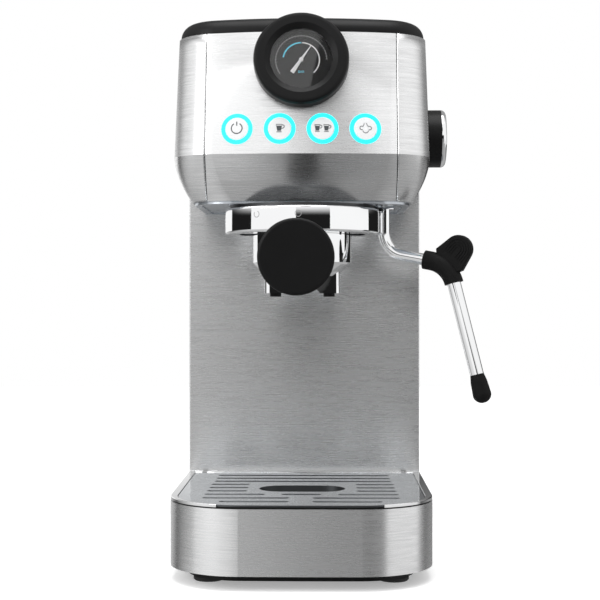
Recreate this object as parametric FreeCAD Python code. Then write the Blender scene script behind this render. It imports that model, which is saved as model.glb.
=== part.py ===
"""A slim domestic pump espresso machine, 150 mm wide, as separate pieces in one shared frame.

Millimetres. The origin is on the worktop, midway between the feet. +X is the user's right when facing
the machine, -Y is the front where the cup stands, and +Z is up. One STEP file per piece goes to parts/.
"""
import FreeCAD, Part

import math
import os

os.makedirs("parts", exist_ok=True)
V = FreeCAD.Vector
UP = V(0, 0, 1)

# ---- driving dimensions -------------------------------------------------------------------------

SHEET = 1.2                 # steel sheet of the casings
SEAM = 0.3                  # half of the gap at a shut line, and the gap around a moving piece

BODY_HALF_WIDTH = 75.0
BODY_FRONT = -165.0         # front of the drip tray
COLUMN_FRONT = -15.0
STEEL_BACK = 85.0           # where the steel casing ends and the water tank begins
BODY_BACK = 165.0

FOOT_HEIGHT = 4.0
FOOT_RADIUS = 8.75
FOOT_X = 52.5
FRONT_FOOT_Y = -130.0
REAR_FOOT_Y = 140.0
PLATE_TOP = 8.0             # top of the base plate

TRAY_TOP = 45.0             # top edge of the tray's steel band
TRAY_CORNER = 42.0
TRAY_FRONT_ARC = 1500.0     # the tray's front is very slightly bowed
GRID_BOTTOM = 46.1
GRID_THICKNESS = 1.0

HEAD_BOTTOM = 216.3
CREASE_Z = 242.0            # where the head's slanted chin meets its upper panel
HEAD_TOP = 313.6
COVER_TOP = 323.0
SEAM_X = 55.0               # shut lines beside the front panel
CHIN_HALF_WIDTH = 65.0
TOP_HALF_WIDTH = 73.5
CHIN_FRONT = -119.0
CREASE_FRONT = -134.5
TOP_FRONT = -121.0

GROUP_Y = -90.0
COLLAR_RADIUS = 46.0
COLLAR_BOTTOM = 198.0
COLLAR_TOP = 213.0

BUTTON_PITCH = 24.4
BUTTON_Z = 256.4
BUTTON_TRAVEL = 0.8

GAUGE_Z = 295.6             # where the gauge's axis meets the panel
GAUGE_REACH = 8.0
BEZEL_RADIUS = 27.35
NEEDLE_ANGLE = 56.0         # needle at rest, anticlockwise from the dial's right

KNOB_Y = -65.0
KNOB_Z = 258.0
KNOB_RADIUS = 17.5

WAND_X = 49.3
WAND_Y = -80.0
WAND_TURN = -20.0           # the wand's arm at rest, anticlockwise from +X seen from above

TANK_FRONT = 86.5
TANK_BACK = 158.0
TANK_BOTTOM = 60.3
TANK_TOP = 312.0
TANK_HALF_WIDTH = 72.0
LID_AXIS_Y = 161.5
LID_AXIS_Z = 312.5


# ---- general helpers ----------------------------------------------------------------------------

def box(x0, x1, y0, y1, z0, z1):
    """An upright block between two corners."""
    return Part.makeBox(x1 - x0, y1 - y0, z1 - z0, V(x0, y0, z0))


def rod(radius, start, end):
    """A round bar between two points."""
    along = end - start
    return Part.makeCylinder(radius, along.Length, start, along)


def disc(radius, z0, z1, x=0.0, y=0.0):
    """An upright cylinder."""
    return rod(radius, V(x, y, z0), V(x, y, z1))


def ring(outer, inner, z0, z1, x=0.0, y=0.0):
    """An upright tube."""
    return disc(outer, z0, z1, x, y).cut(disc(inner, z0 - 1, z1 + 1, x, y))


def turned(outline):
    """A solid turned round Z from (radius, height) points."""
    points = [V(r, 0, h) for r, h in outline]
    face = Part.Face(Part.makePolygon(points + [points[0]]))
    return face.revolve(V(0, 0, 0), UP, 360)


def joined(shapes):
    """One solid out of several that touch or overlap."""
    whole = shapes[0]
    for shape in shapes[1:]:
        whole = whole.fuse(shape)
    return whole.removeSplitter()


def without(shape, cutters):
    """A shape with every cutter taken away."""
    for cutter in cutters:
        shape = shape.cut(cutter)
    return shape


def placed(shape, origin, right, upward, outward):
    """Move a shape from its own axes so that x, y, z lie along right, upward, outward at origin."""
    turn = FreeCAD.Rotation(right, upward, outward, "ZXY")
    moved = shape.copy()
    moved.Placement = FreeCAD.Placement(origin, turn).multiply(moved.Placement)
    return moved


def bent_path(points, bend):
    """Straight runs joined by tangent arcs of radius bend."""
    edges = []
    start = points[0]
    for before, corner, after in zip(points, points[1:], points[2:]):
        back = (before - corner).normalize()
        ahead = (after - corner).normalize()
        turn = math.pi - back.getAngle(ahead)
        reach = bend * math.tan(turn / 2)
        arc_start = corner + back * reach
        arc_end = corner + ahead * reach
        middle = (back + ahead).normalize()
        arc_middle = corner + middle * (bend / math.cos(turn / 2) - bend)
        edges.append(Part.LineSegment(start, arc_start).toShape())
        edges.append(Part.Arc(arc_start, arc_middle, arc_end).toShape())
        start = arc_end
    edges.append(Part.LineSegment(start, points[-1]).toShape())
    return Part.Wire(edges)


def tube(points, radius, bend, bore=0.0):
    """A round tube along points, with its corners rounded to bend. bore is its inner radius."""
    path = bent_path(points, bend)
    along = points[1] - points[0]
    section = Part.Wire(Part.makeCircle(radius, points[0], along))
    outer = path.makePipeShell([section], True, False)
    if bore == 0.0:
        return outer
    hole = Part.Wire(Part.makeCircle(bore, points[0], along))
    return outer.cut(path.makePipeShell([hole], True, False))


def rounded_top(shape, height, radius):
    """Round the outer edges that lie at one height."""
    edges = [e for e in shape.Edges if abs(e.BoundBox.ZMin - height) < 1e-4 and e.BoundBox.ZLength < 1e-4]
    return shape.makeFillet(radius, edges)


def slot(x0, x1, y, width, z0, z1):
    """A cutter for a slot with round ends, running along X."""
    r = width / 2
    middle = box(x0 + r, x1 - r, y - r, y + r, z0, z1)
    return joined([middle, disc(r, z0, z1, x0 + r, y), disc(r, z0, z1, x1 - r, y)])


# ---- plan outlines ------------------------------------------------------------------------------

def plan_wire(z, half_width, front, front_arc, corner, back):
    """The outline seen from above: straight sides and back, a bowed front, and round front corners.

    The front lies on a circle of radius front_arc whose foremost point is at front. Each corner is a
    smaller circle that touches both that circle and the straight side.
    """
    bow_y = front + front_arc
    corner_x = half_width - corner
    corner_y = bow_y - math.sqrt((front_arc - corner) ** 2 - corner_x ** 2)
    away = V(corner_x, corner_y - bow_y, 0).normalize()
    meet = V(0, bow_y, 0) + away * front_arc
    half = (away + V(1, 0, 0)).normalize()
    mid = V(corner_x, corner_y, 0) + half * corner
    side = V(half_width, corner_y, 0)

    def at(point, sign=1):
        return V(sign * point.x, point.y, z)

    rear = V(half_width, back, 0)
    return Part.Wire([
        Part.LineSegment(at(rear), at(side)).toShape(),
        Part.Arc(at(side), at(mid), at(meet)).toShape(),
        Part.Arc(at(meet), V(0, front, z), at(meet, -1)).toShape(),
        Part.Arc(at(meet, -1), at(mid, -1), at(side, -1)).toShape(),
        Part.LineSegment(at(side, -1), at(rear, -1)).toShape(),
        Part.LineSegment(at(rear, -1), at(rear)).toShape(),
    ])


def plan_solid(z0, z1, half_width, front, front_arc, corner, back):
    """A slab with the plan outline."""
    wire = plan_wire(z0, half_width, front, front_arc, corner, back)
    return Part.Face(wire).extrude(V(0, 0, z1 - z0))


def tray_slab(z0, z1, inset, back=COLUMN_FRONT - SEAM):
    """A slab with the drip tray's outline, inset from its steel band."""
    return plan_solid(z0, z1, BODY_HALF_WIDTH - inset, BODY_FRONT + inset, TRAY_FRONT_ARC - inset,
                      TRAY_CORNER - inset, back)


def mix(a, b, t):
    return a + (b - a) * t


def head_section(z):
    """Half width, front, front arc radius and corner radius of the head's outside at a height.

    Below the crease the chin slants back and its sides curve in. Above it the panel leans back and
    bows a little more towards the top.
    """
    if z <= CREASE_Z:
        t = (z - HEAD_BOTTOM) / (CREASE_Z - HEAD_BOTTOM)
        inward = max(1 - t, 0.0) ** 1.8
        half_width = BODY_HALF_WIDTH - (BODY_HALF_WIDTH - CHIN_HALF_WIDTH) * inward
        front = mix(CHIN_FRONT, CREASE_FRONT, t)
        curvature = mix(1 / 1500.0, 1 / 380.0, t)
        corner = mix(25.0, 28.0, t)
    else:
        t = (z - CREASE_Z) / (HEAD_TOP - CREASE_Z)
        half_width = mix(BODY_HALF_WIDTH, TOP_HALF_WIDTH, t)
        front = mix(CREASE_FRONT, TOP_FRONT, t)
        curvature = mix(1 / 380.0, 1 / 220.0, t)
        corner = 28.0
    return half_width, front, 1 / curvature, corner


HEAD_LEVELS = [HEAD_BOTTOM, 222.0, 228.0, 235.0, CREASE_Z, HEAD_TOP]


def head_loft(inset, back, below=0.0, above=0.0):
    """The head as a solid, inset from its outer skin, and carried on past its lower and upper edges."""
    levels = list(HEAD_LEVELS)
    wires = []
    for z in levels:
        half_width, front, front_arc, corner = head_section(z)
        shift = -below if z == HEAD_BOTTOM else above if z == HEAD_TOP else 0.0
        wires.append(plan_wire(z + shift, half_width - inset, front + inset, front_arc - inset,
                               corner - inset, back))
    return Part.makeLoft(wires, True, True)


def panel_point(x, z):
    """The point of the front panel's outside at a place across and a height."""
    _, front, front_arc, _ = head_section(z)
    return V(x, front + front_arc - math.sqrt(front_arc ** 2 - x ** 2), z)


def panel_frame(x, z):
    """The panel's point at (x, z), and its own right, upward and outward directions there."""
    step = 0.01
    upward = (panel_point(x, z + step) - panel_point(x, z - step)).normalize()
    across = (panel_point(x + step, z) - panel_point(x - step, z)).normalize()
    outward = across.cross(upward).normalize()
    return panel_point(x, z), upward.cross(outward), upward, outward


BUTTON_X = [BUTTON_PITCH * (i - 1.5) for i in range(4)]


def on_panel(shape, x, z):
    """Put a shape made round its own Z axis onto the front panel, with +Z outward."""
    origin, right, upward, outward = panel_frame(x, z)
    return placed(shape, origin, right, upward, outward)


# ---- base, column and rear ----------------------------------------------------------------------

SCREW_PLACES = [(-60.0, 0.0), (60.0, 0.0), (-60.0, 150.0), (60.0, 150.0)]
HOSE_X = -25.0              # the suction hose and the pump stand left of the centre
HOSE_Z = 22.0
PUMP_Y = 35.0
SEAT_Y = 125.0              # where the tank's valve meets its seat
SHANK = 1.6


def make_base_plate():
    """A thin black plate under everything, with countersunk places for the case screws."""
    tray_inset = 10.0
    front = tray_slab(FOOT_HEIGHT, PLATE_TOP, tray_inset, COLUMN_FRONT)
    rear = box(-73.5, 73.5, COLUMN_FRONT + 1, BODY_BACK - 1, FOOT_HEIGHT, PLATE_TOP)
    corners = [e for e in rear.Edges if e.BoundBox.ZLength > 1 and e.BoundBox.YMin > BODY_BACK - 2]
    rear = rear.makeFillet(12.0, corners)
    joint = box(-60, 60, COLUMN_FRONT - 2, COLUMN_FRONT + 3, FOOT_HEIGHT, PLATE_TOP)
    holes = [disc(SHANK + 0.2, 0, 20, x, y) for x, y in SCREW_PLACES]
    sinks = [disc(3.6, 0, FOOT_HEIGHT + 1.2, x, y) for x, y in SCREW_PLACES]
    return without(joined([front, rear, joint]), holes + sinks)


def make_feet():
    """Four round rubber feet, a little wider at the floor."""
    r = FOOT_RADIUS
    foot = turned([(0, 0), (r - 0.8, 0), (r, 0.8), (r, 2.2), (r - 1.2, FOOT_HEIGHT), (0, FOOT_HEIGHT)])
    places = [(x, y) for x in (-FOOT_X, FOOT_X) for y in (FRONT_FOOT_Y, REAR_FOOT_Y)]
    return Part.makeCompound([foot.translated(V(x, y, 0)) for x, y in places])


def make_column_casing():
    """The brushed steel column: a flat front and two sides, open behind and where the head joins."""
    w = BODY_HALF_WIDTH
    top = CREASE_Z + SEAM
    outside = box(-w, w, COLUMN_FRONT, STEEL_BACK, PLATE_TOP, top)
    edges = [e for e in outside.Edges if e.BoundBox.ZLength > 1 and e.BoundBox.YMax < COLUMN_FRONT + 1]
    outside = outside.makeFillet(0.6, edges)
    inside = box(-w + SHEET, w - SHEET, COLUMN_FRONT + SHEET, STEEL_BACK + 1, 0, top + 1)
    window = box(-61.5, 61.5, COLUMN_FRONT - 1, COLUMN_FRONT + 2, HEAD_BOTTOM - 1.5, top + 1)
    return without(outside, [inside, window])


def make_chassis():
    """The inner frame: a floor with screw posts and an upright back that closes the steel casing."""
    floor = box(-72, 72, COLUMN_FRONT + 2, 82.5, PLATE_TOP, 11)
    back = box(-72, 72, 82.5, STEEL_BACK, PLATE_TOP, 308)
    posts = [disc(4.5, PLATE_TOP, 22, x, y) for x, y in SCREW_PLACES if y < STEEL_BACK]
    ribs = [box(x - 1.2, x + 1.2, 74, 83, 11, 300) for x in (-64, 64)]
    holes = [disc(SHANK, 0, 19, x, y) for x, y in SCREW_PLACES if y < STEEL_BACK]
    crossing = SEAT_Y - (STEEL_BACK - 1.25)
    hose_x = HOSE_X * crossing / (SEAT_Y - PUMP_Y)
    gap = rod(7.0, V(hose_x, 80, HOSE_Z), V(hose_x, 87, HOSE_Z))
    return without(joined([floor, back] + posts + ribs), holes + [gap])


def make_rear_cover():
    """The black plinth behind the column, which carries the water tank."""
    w = BODY_HALF_WIDTH - 1
    outside = box(-w, w, STEEL_BACK + SEAM, BODY_BACK, PLATE_TOP, 58)
    upright = [e for e in outside.Edges if e.BoundBox.ZLength > 1 and e.BoundBox.YMin > BODY_BACK - 1]
    outside = outside.makeFillet(12.0, upright)
    outside = rounded_top(outside, 58, 1.5)
    inside = box(-w + 2.5, w - 2.5, STEEL_BACK - 1, BODY_BACK - 2.5, 0, 55.5)
    upright = [e for e in inside.Edges if e.BoundBox.ZLength > 1 and e.BoundBox.YMin > BODY_BACK - 4]
    inside = inside.makeFillet(9.5, upright)
    shell = outside.cut(inside)
    posts = [disc(4.5, PLATE_TOP, 56, x, y) for x, y in SCREW_PLACES if y > STEEL_BACK]
    holes = [disc(SHANK, 0, 19, x, y) for x, y in SCREW_PLACES if y > STEEL_BACK]
    seat_hole = disc(12.0, 50, 60, 0, SEAT_Y)
    gland_hole = rod(6.0, V(42, 160, 28), V(42, 170, 28))
    louvres = [box(-50, -10, 160, 170, z, z + 2.2) for z in (22, 28, 34, 40)]
    return without(joined([shell] + posts), holes + [seat_hole, gland_hole] + louvres)


def make_cord_gland():
    """The round gland that the mains cord would leave by. Its bore is the size of a 7 mm cord."""
    body = joined([
        rod(5.9, V(42, 156, 28), V(42, BODY_BACK, 28)),
        rod(8.0, V(42, BODY_BACK, 28), V(42, BODY_BACK + 2, 28)),
        rod(8.0, V(42, 158.5, 28), V(42, BODY_BACK - 2.5, 28)),
    ])
    return body.cut(rod(3.6, V(42, 150, 28), V(42, 170, 28)))


def make_case_screws():
    """Four screws up through the base plate, and the one that holds the shower screen."""
    screws = []
    for x, y in SCREW_PLACES:
        head = disc(3.3, FOOT_HEIGHT + 0.1, FOOT_HEIGHT + 1.2, x, y)
        head = head.cut(box(x - 2.4, x + 2.4, y - 0.4, y + 0.4, FOOT_HEIGHT, FOOT_HEIGHT + 0.6))
        screws.append(joined([head, disc(SHANK, FOOT_HEIGHT + 1.2, 18, x, y)]))
    screen_head = disc(3.4, 204.5, 205.5, 0, GROUP_Y)
    screws.append(joined([screen_head, disc(SHANK, 205.5, 214, 0, GROUP_Y)]))
    return Part.makeCompound(screws)


# ---- head ---------------------------------------------------------------------------------------

GAUGE_HOLE = 17.5
RING_RADIUS = 9.0
RING_BORE = 6.95


def head_shell():
    """The whole steel skin of the head before it is parted at its seams."""
    skin = head_loft(0, STEEL_BACK).cut(head_loft(SHEET, STEEL_BACK + 1, 0.6, 0.6))
    beside_column = box(-80, 80, COLUMN_FRONT - SEAM, 90, 200, CREASE_Z + 2 * SEAM)
    return skin.cut(beside_column)


def make_head_front_panel(shell):
    """The front panel between the seams, with holes for the gauge and the four buttons."""
    middle = box(-SEAM_X + SEAM, SEAM_X - SEAM, -140, -60, 210, 320)
    holes = [on_panel(disc(RING_RADIUS + 0.05, -8, 5), x, BUTTON_Z) for x in BUTTON_X]
    holes.append(on_panel(disc(GAUGE_HOLE, -8, 6), 0, GAUGE_Z))
    return without(shell.common(middle), holes)


def make_head_side(shell, sign):
    """A side of the head, wrapped round the front corner to the seam. The right one lets a spindle out."""
    reach = sorted((sign * (SEAM_X + SEAM), sign * 80))
    side = shell.common(box(reach[0], reach[1], -140, 90, 210, 320))
    if sign > 0:
        side = side.cut(rod(5.0, V(65, KNOB_Y, KNOB_Z), V(80, KNOB_Y, KNOB_Z)))
    return side


def cover_slab(z0, z1, inset, back):
    half_width, front, front_arc, corner = head_section(HEAD_TOP)
    return plan_solid(z0, z1, half_width - inset, front + inset, front_arc - inset, corner - inset, back)


COVER_ROUNDING = 8.5


def make_top_cover():
    """The black top: a shallow cap with rounded edges, a lip inside the steel and a bed for the plate."""
    lip_bottom = HEAD_TOP - 4
    lip_inset = SHEET + 0.4
    cap = cover_slab(lip_bottom, COVER_TOP, 1.0, STEEL_BACK + 0.5)
    rim = [e for e in cap.Edges if e.BoundBox.ZMin > COVER_TOP - 1e-4 and e.BoundBox.YMin < STEEL_BACK]
    cap = cap.makeFillet(COVER_ROUNDING, rim)
    around_lip = cover_slab(lip_bottom - 1, HEAD_TOP, -2, STEEL_BACK + 4)
    around_lip = around_lip.cut(cover_slab(lip_bottom - 2, HEAD_TOP + 1, lip_inset, STEEL_BACK - 4))
    hollow = cover_slab(lip_bottom - 1, COVER_TOP - 3.5, 4.5, STEEL_BACK - 6)
    bed = box(-57, 57, -86, 74, COVER_TOP - 1.5, COVER_TOP + 1)
    upright = [e for e in bed.Edges if e.BoundBox.ZLength > 1 and e.BoundBox.XLength < 0.1]
    bed = bed.makeFillet(12.0, upright)
    notch = on_panel(disc(BEZEL_RADIUS + SEAM, -9, 14), 0, GAUGE_Z)
    return without(cap, [around_lip, hollow, bed, notch])


def make_cup_warmer_plate():
    """The steel plate on top that warms cups, with rows of slots."""
    plate = box(-56.7, 56.7, -85.7, 73.7, COVER_TOP - 1.5, COVER_TOP - 0.3)
    upright = [e for e in plate.Edges if e.BoundBox.ZLength > 1 and e.BoundBox.XLength < 0.1]
    plate = plate.makeFillet(11.7, upright)
    slots = [slot(-42, 42, y, 3.0, COVER_TOP - 2, COVER_TOP + 1) for y in range(-66, 61, 14)]
    return without(plate, slots)


UNDERSIDE_BOTTOM = 214.8


def make_head_underside():
    """The smooth metal plate that closes the head from below, with a narrow rim round a raised panel."""
    inset = SHEET + 0.1
    half_width, front, front_arc, corner = head_section(HEAD_BOTTOM)

    def slab(z0, z1, extra, back):
        more = inset + extra
        return plan_solid(z0, z1, half_width - more, front + more, front_arc - more, corner - more, back)

    plate = slab(UNDERSIDE_BOTTOM, UNDERSIDE_BOTTOM + 2.6, 0, COLUMN_FRONT - 0.1)
    field = slab(UNDERSIDE_BOTTOM - 1, UNDERSIDE_BOTTOM + 0.9, 4.0, COLUMN_FRONT - 4)
    boss = disc(COLLAR_RADIUS - 2, UNDERSIDE_BOTTOM, UNDERSIDE_BOTTOM + 2, 0, GROUP_Y)
    plate = plate.cut(field.cut(boss))
    neck = disc(25.3, 210, 220, 0, GROUP_Y)
    socket = disc(6.8, 210, 220, WAND_X, WAND_Y)
    return without(plate, [neck, socket])


# ---- gauge --------------------------------------------------------------------------------------

DIAL_BACK = 1.5
GLASS_BACK = 4.6


def make_gauge_bezel():
    """The thick black ring round the gauge, hollowed to the glass, with a spigot through the panel."""
    r = BEZEL_RADIUS
    ring_body = turned([(13, -2), (r, -2), (r, GAUGE_REACH - 2.2), (r - 0.5, GAUGE_REACH - 0.9),
                        (r - 1.4, GAUGE_REACH - 0.15), (r - 2.4, GAUGE_REACH), (21, GAUGE_REACH),
                        (17.8, GLASS_BACK + 1.3), (17.8, DIAL_BACK - 0.05), (13, DIAL_BACK - 0.05)])
    ring_body = on_panel(ring_body, 0, GAUGE_Z).cut(head_loft(-0.02, STEEL_BACK))
    spigot = on_panel(ring(GAUGE_HOLE - 0.2, 13, -7, DIAL_BACK - 0.05), 0, GAUGE_Z)
    return joined([ring_body, spigot])


def make_gauge_dial():
    """The dial: a thin disc with a hole for the needle's shaft."""
    return on_panel(ring(17.7, 1.3, DIAL_BACK, DIAL_BACK + 0.8), 0, GAUGE_Z)


def make_gauge_glass():
    """The clear front of the gauge."""
    return on_panel(disc(17.7, GLASS_BACK, GLASS_BACK + 1.1), 0, GAUGE_Z)


def make_gauge_movement():
    """The pressure movement behind the dial, with its inlet stub below."""
    front = disc(12.7, -7.2, DIAL_BACK - 0.05)
    can = disc(16.5, -24, -7.2)
    bore = disc(1.3, -3, 4)
    stub = rod(3.0, V(0, -14, -16), V(0, -24, -16))
    return on_panel(joined([front, can, stub]).cut(bore), 0, GAUGE_Z)


def make_gauge_needle():
    """The needle: one long taper, broad at its tail, with a small hub and a shaft into the movement."""
    tip, tail, thick = 9.8, -9.4, 0.45
    blade = Part.Face(Part.makePolygon([
        V(tip, 0.16, 0), V(tail, 1.25, 0), V(tail, -1.25, 0), V(tip, -0.16, 0),
        V(tip, 0.16, 0)])).extrude(V(0, 0, thick))
    level = DIAL_BACK + 1.6
    hub = disc(1.2, level - 0.2, level + 0.8)
    needle = joined([blade.translated(V(0, 0, level)), hub, disc(1.0, -2.5, level + 0.2)])
    needle.rotate(V(0, 0, 0), UP, NEEDLE_ANGLE)
    return on_panel(needle, 0, GAUGE_Z)


# ---- buttons ------------------------------------------------------------------------------------

BOARD_FRONT = -11.8
SWITCH_TOP = -7.4


def make_button_light_rings():
    """Four light rings let into the panel, each with a flange behind it."""
    light = joined([ring(RING_RADIUS, RING_BORE, -3.2, 0.35), ring(11.0, RING_BORE, -3.2, -2.2)])
    return Part.makeCompound([on_panel(light, x, BUTTON_Z) for x in BUTTON_X])


def make_button(x):
    """A round push button: a softly domed cap on a stem."""
    r = RING_BORE - 0.3
    cap = turned([(0, -1.8), (r, -1.8), (r, 0.25), (r - 0.4, 0.55), (r * 0.6, 0.72), (0, 0.8)])
    stem = disc(2.0, SWITCH_TOP + BUTTON_TRAVEL + SEAM, -1.8)
    return on_panel(joined([cap, stem]), x, BUTTON_Z)


def board_slab(front, back, half_width, half_height):
    """A flat slab behind the panel's middle, square to the panel's outward direction there."""
    slab = box(-half_width, half_width, -half_height, half_height, back, front)
    return on_panel(slab, 0, BUTTON_Z)


def make_control_board():
    """The circuit board behind the buttons, with a row of parts on its back."""
    board = board_slab(BOARD_FRONT, BOARD_FRONT - 1.6, 50, 10.5)
    parts = []
    for x in (-36, -20, 8, 24, 40):
        chip = box(x - 5, x + 5, -4, 4, BOARD_FRONT - 4.4, BOARD_FRONT - 1.6)
        parts.append(on_panel(chip, 0, BUTTON_Z))
    return joined([board] + parts)


def make_button_switches():
    """Four small switches standing on the board, one behind each button's stem."""
    behind = board_slab(BOARD_FRONT, BOARD_FRONT - 8, 60, 20)
    switches = []
    for x in BUTTON_X:
        body = joined([box(-3, 3, -3, 3, BOARD_FRONT - 3, SWITCH_TOP - 0.8), disc(1.7, -9, SWITCH_TOP)])
        switches.append(on_panel(body, x, BUTTON_Z).cut(behind))
    return Part.makeCompound(switches)


# ---- group, heater and water path ---------------------------------------------------------------

BORE_RADIUS = 31.4
LIP_RADIUS = 31.2
GROOVE_RADIUS = 37.6
GROOVE_BOTTOM = 199.4
GROOVE_TOP = 203.6
LUG_TURN = 40.0             # how far the handle turns to lock the filter holder
NOTCH_HALF_ANGLE = 20.0
LUG_HALF_ANGLE = 16.0


def wedge(outer, inner, z0, z1, middle, half_angle):
    """Part of a ring about the group's axis, from middle - half_angle to middle + half_angle."""
    whole = ring(outer, inner, z0, z1)
    far = outer * 2
    a = math.radians(middle - half_angle)
    b = math.radians(middle + half_angle)
    corners = [V(0, 0, z0), V(far * math.cos(a), far * math.sin(a), z0),
               V(far * math.cos(b), far * math.sin(b), z0), V(0, 0, z0)]
    slice_ = Part.Face(Part.makePolygon(corners)).extrude(V(0, 0, z1 - z0))
    return whole.common(slice_).translated(V(0, GROUP_Y, 0))


def make_group_collar():
    """The chrome collar: a groove inside takes the filter holder's lugs, let in by two notches."""
    r = COLLAR_RADIUS
    body = turned([(LIP_RADIUS, COLLAR_BOTTOM), (r - 1.6, COLLAR_BOTTOM), (r - 0.5, COLLAR_BOTTOM + 0.5),
                   (r, COLLAR_BOTTOM + 1.6), (r, COLLAR_TOP - 1.6), (r - 0.5, COLLAR_TOP - 0.5),
                   (r - 1.6, COLLAR_TOP), (r - 3, COLLAR_TOP), (r - 3, UNDERSIDE_BOTTOM),
                   (BORE_RADIUS, UNDERSIDE_BOTTOM), (BORE_RADIUS, GROOVE_TOP),
                   (GROOVE_RADIUS, GROOVE_TOP), (GROOVE_RADIUS, GROOVE_BOTTOM),
                   (LIP_RADIUS, GROOVE_BOTTOM)]).translated(V(0, GROUP_Y, 0))
    notches = [wedge(GROOVE_RADIUS, 25, COLLAR_BOTTOM - 1, GROOVE_BOTTOM + 0.5, middle, NOTCH_HALF_ANGLE)
               for middle in (0, 180)]
    return without(body, notches)


def make_group_head():
    """The brewing group: a disc in the collar and a neck up to the heater, with a water way."""
    body = joined([disc(31.3, 208, 212, 0, GROUP_Y), disc(25, 212, 226.4, 0, GROUP_Y)])
    return without(body, [disc(SHANK, 200, 214, 0, GROUP_Y), disc(2.5, 200, 230, 10, GROUP_Y)])


def make_group_gasket():
    """The rubber seal that the filter basket's rim is pressed against."""
    return ring(31.2, 25.0, 204.6, 208, 0, GROUP_Y)


def make_shower_screen():
    """The dished screen that spreads the water, with rings of small holes."""
    screen = turned([(SHANK, 205.5), (20, 205.5), (24.2, 206.4), (24.2, 207.2), (20, 206.3), (SHANK, 206.3)])
    screen = screen.translated(V(0, GROUP_Y, 0))
    holes = []
    for radius, count in ((8.0, 8), (13.0, 12), (18.0, 18)):
        for i in range(count):
            a = 2 * math.pi * i / count
            holes.append(disc(0.8, 204, 208, radius * math.cos(a), GROUP_Y + radius * math.sin(a)))
    return without(screen, holes)


def make_thermoblock():
    """The cast aluminium heater above the group, ribbed on top, with bosses for its tubes."""
    block = box(-36, 36, -100, -42, 226.4, 254)
    upright = [e for e in block.Edges if e.BoundBox.ZLength > 1 and e.BoundBox.XLength < 0.1]
    block = block.makeFillet(6.0, upright)
    ribs = [box(-30, 30, y, y + 3, 254, 259) for y in (-94, -84, -60, -50)]
    inlet = rod(5, V(HOSE_X, -42, 246), V(HOSE_X, -37, 246))
    outlet = rod(5, V(36, -60, 240), V(39, -60, 240))
    return joined([block, inlet, outlet] + ribs)


def make_thermostats():
    """Two button thermostats clipped on the heater."""
    return Part.makeCompound([joined([disc(8, 254, 259, x, -72), disc(5.5, 259, 263, x, -72)])
                              for x in (-14, 14)])


def make_pump():
    """The vibrating pump: an inlet neck, a square coil housing and an outlet neck, standing upright."""
    x = HOSE_X
    coil = box(x - 22, x + 22, PUMP_Y - 20, PUMP_Y + 20, 78, 124)
    return joined([disc(8, 62, 78, x, PUMP_Y), coil, disc(10, 124, 146, x, PUMP_Y),
                   disc(5, 146, 154, x, PUMP_Y)])


def make_pump_mounts():
    """Two rubber rings that hold the pump and keep its buzz from the casing."""
    return Part.makeCompound([
        joined([ring(15, 8, 66, 74, HOSE_X, PUMP_Y),
                box(HOSE_X - 4, HOSE_X + 4, PUMP_Y + 14, 82.5, 66, 74)]),
        joined([ring(17, 10, 130, 138, HOSE_X, PUMP_Y),
                box(HOSE_X - 4, HOSE_X + 4, PUMP_Y + 16, 82.5, 130, 138)]),
    ])


def make_solenoid_valve():
    """The three-way valve beside the heater."""
    base = box(-60, -40, -84, -62, 228, 240)
    coil = box(-61, -39, -85, -61, 240, 262)
    link = rod(3, V(-40, -73, 234), V(-36, -73, 234))
    return joined([base, coil, link])


def make_steam_valve():
    """The needle valve that the side knob opens."""
    body = box(42, 66, -74, -56, 249.5, 267.5)
    gland = rod(6.5, V(66, KNOB_Y, KNOB_Z), V(71, KNOB_Y, KNOB_Z))
    bore = rod(3.05, V(60, KNOB_Y, KNOB_Z), V(72, KNOB_Y, KNOB_Z))
    return joined([body, gland]).cut(bore)


def make_steam_tube():
    """Two short tubes: heater to steam valve, and steam valve to the wand's socket."""
    feed = tube([V(39, -60, 240), V(46, -60, 240), V(46, -60, 249.5)], 2.0, 4.0)
    drop = tube([V(WAND_X, WAND_Y, 232), V(WAND_X, WAND_Y, 241), V(54, -66, 241), V(54, -66, 249.5)],
                2.0, 3.5)
    return Part.makeCompound([feed, drop])


def make_suction_hose():
    """The soft hose from the tank's seat to the pump."""
    return tube([V(0, SEAT_Y, 40), V(0, SEAT_Y, HOSE_Z), V(HOSE_X, PUMP_Y, HOSE_Z),
                 V(HOSE_X, PUMP_Y, 62)], 3.5, 10.0)


def make_pressure_tube():
    """The stiff tube from the pump to the heater."""
    return tube([V(HOSE_X, PUMP_Y, 154), V(HOSE_X, PUMP_Y, 246), V(HOSE_X, -37, 246)], 2.5, 16.0)


def make_tank_seat():
    """The socket in the plinth that the tank's valve drops into."""
    body = joined([ring(14, 9.4, 58, 59.8, 0, SEAT_Y), ring(11.9, 9.4, 49, 58, 0, SEAT_Y),
                   disc(11.9, 46, 49, 0, SEAT_Y), disc(3.4, 40, 46, 0, SEAT_Y)])
    return body


# ---- steam knob and wand ------------------------------------------------------------------------

KNOB_IN = 75.4
KNOB_MID = 84.3
KNOB_OUT = 87.3


def sideways(shape):
    """Stand a shape made round Z on the right-hand side, with its Z along +X at the knob's axis."""
    return placed(shape, V(0, KNOB_Y, KNOB_Z), V(0, 1, 0), UP, V(1, 0, 0))


def make_steam_knob():
    """The knob's smooth black body, with a pointer line cut along its rim."""
    r = KNOB_RADIUS
    body = turned([(0, KNOB_IN), (r - 0.8, KNOB_IN), (r, KNOB_IN + 0.8), (r, KNOB_MID), (0, KNOB_MID)])
    pointer = box(-0.4, 0.4, r - 0.4, r + 1, KNOB_IN + 2, KNOB_MID - 1.2)
    return sideways(body.cut(pointer))


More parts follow.
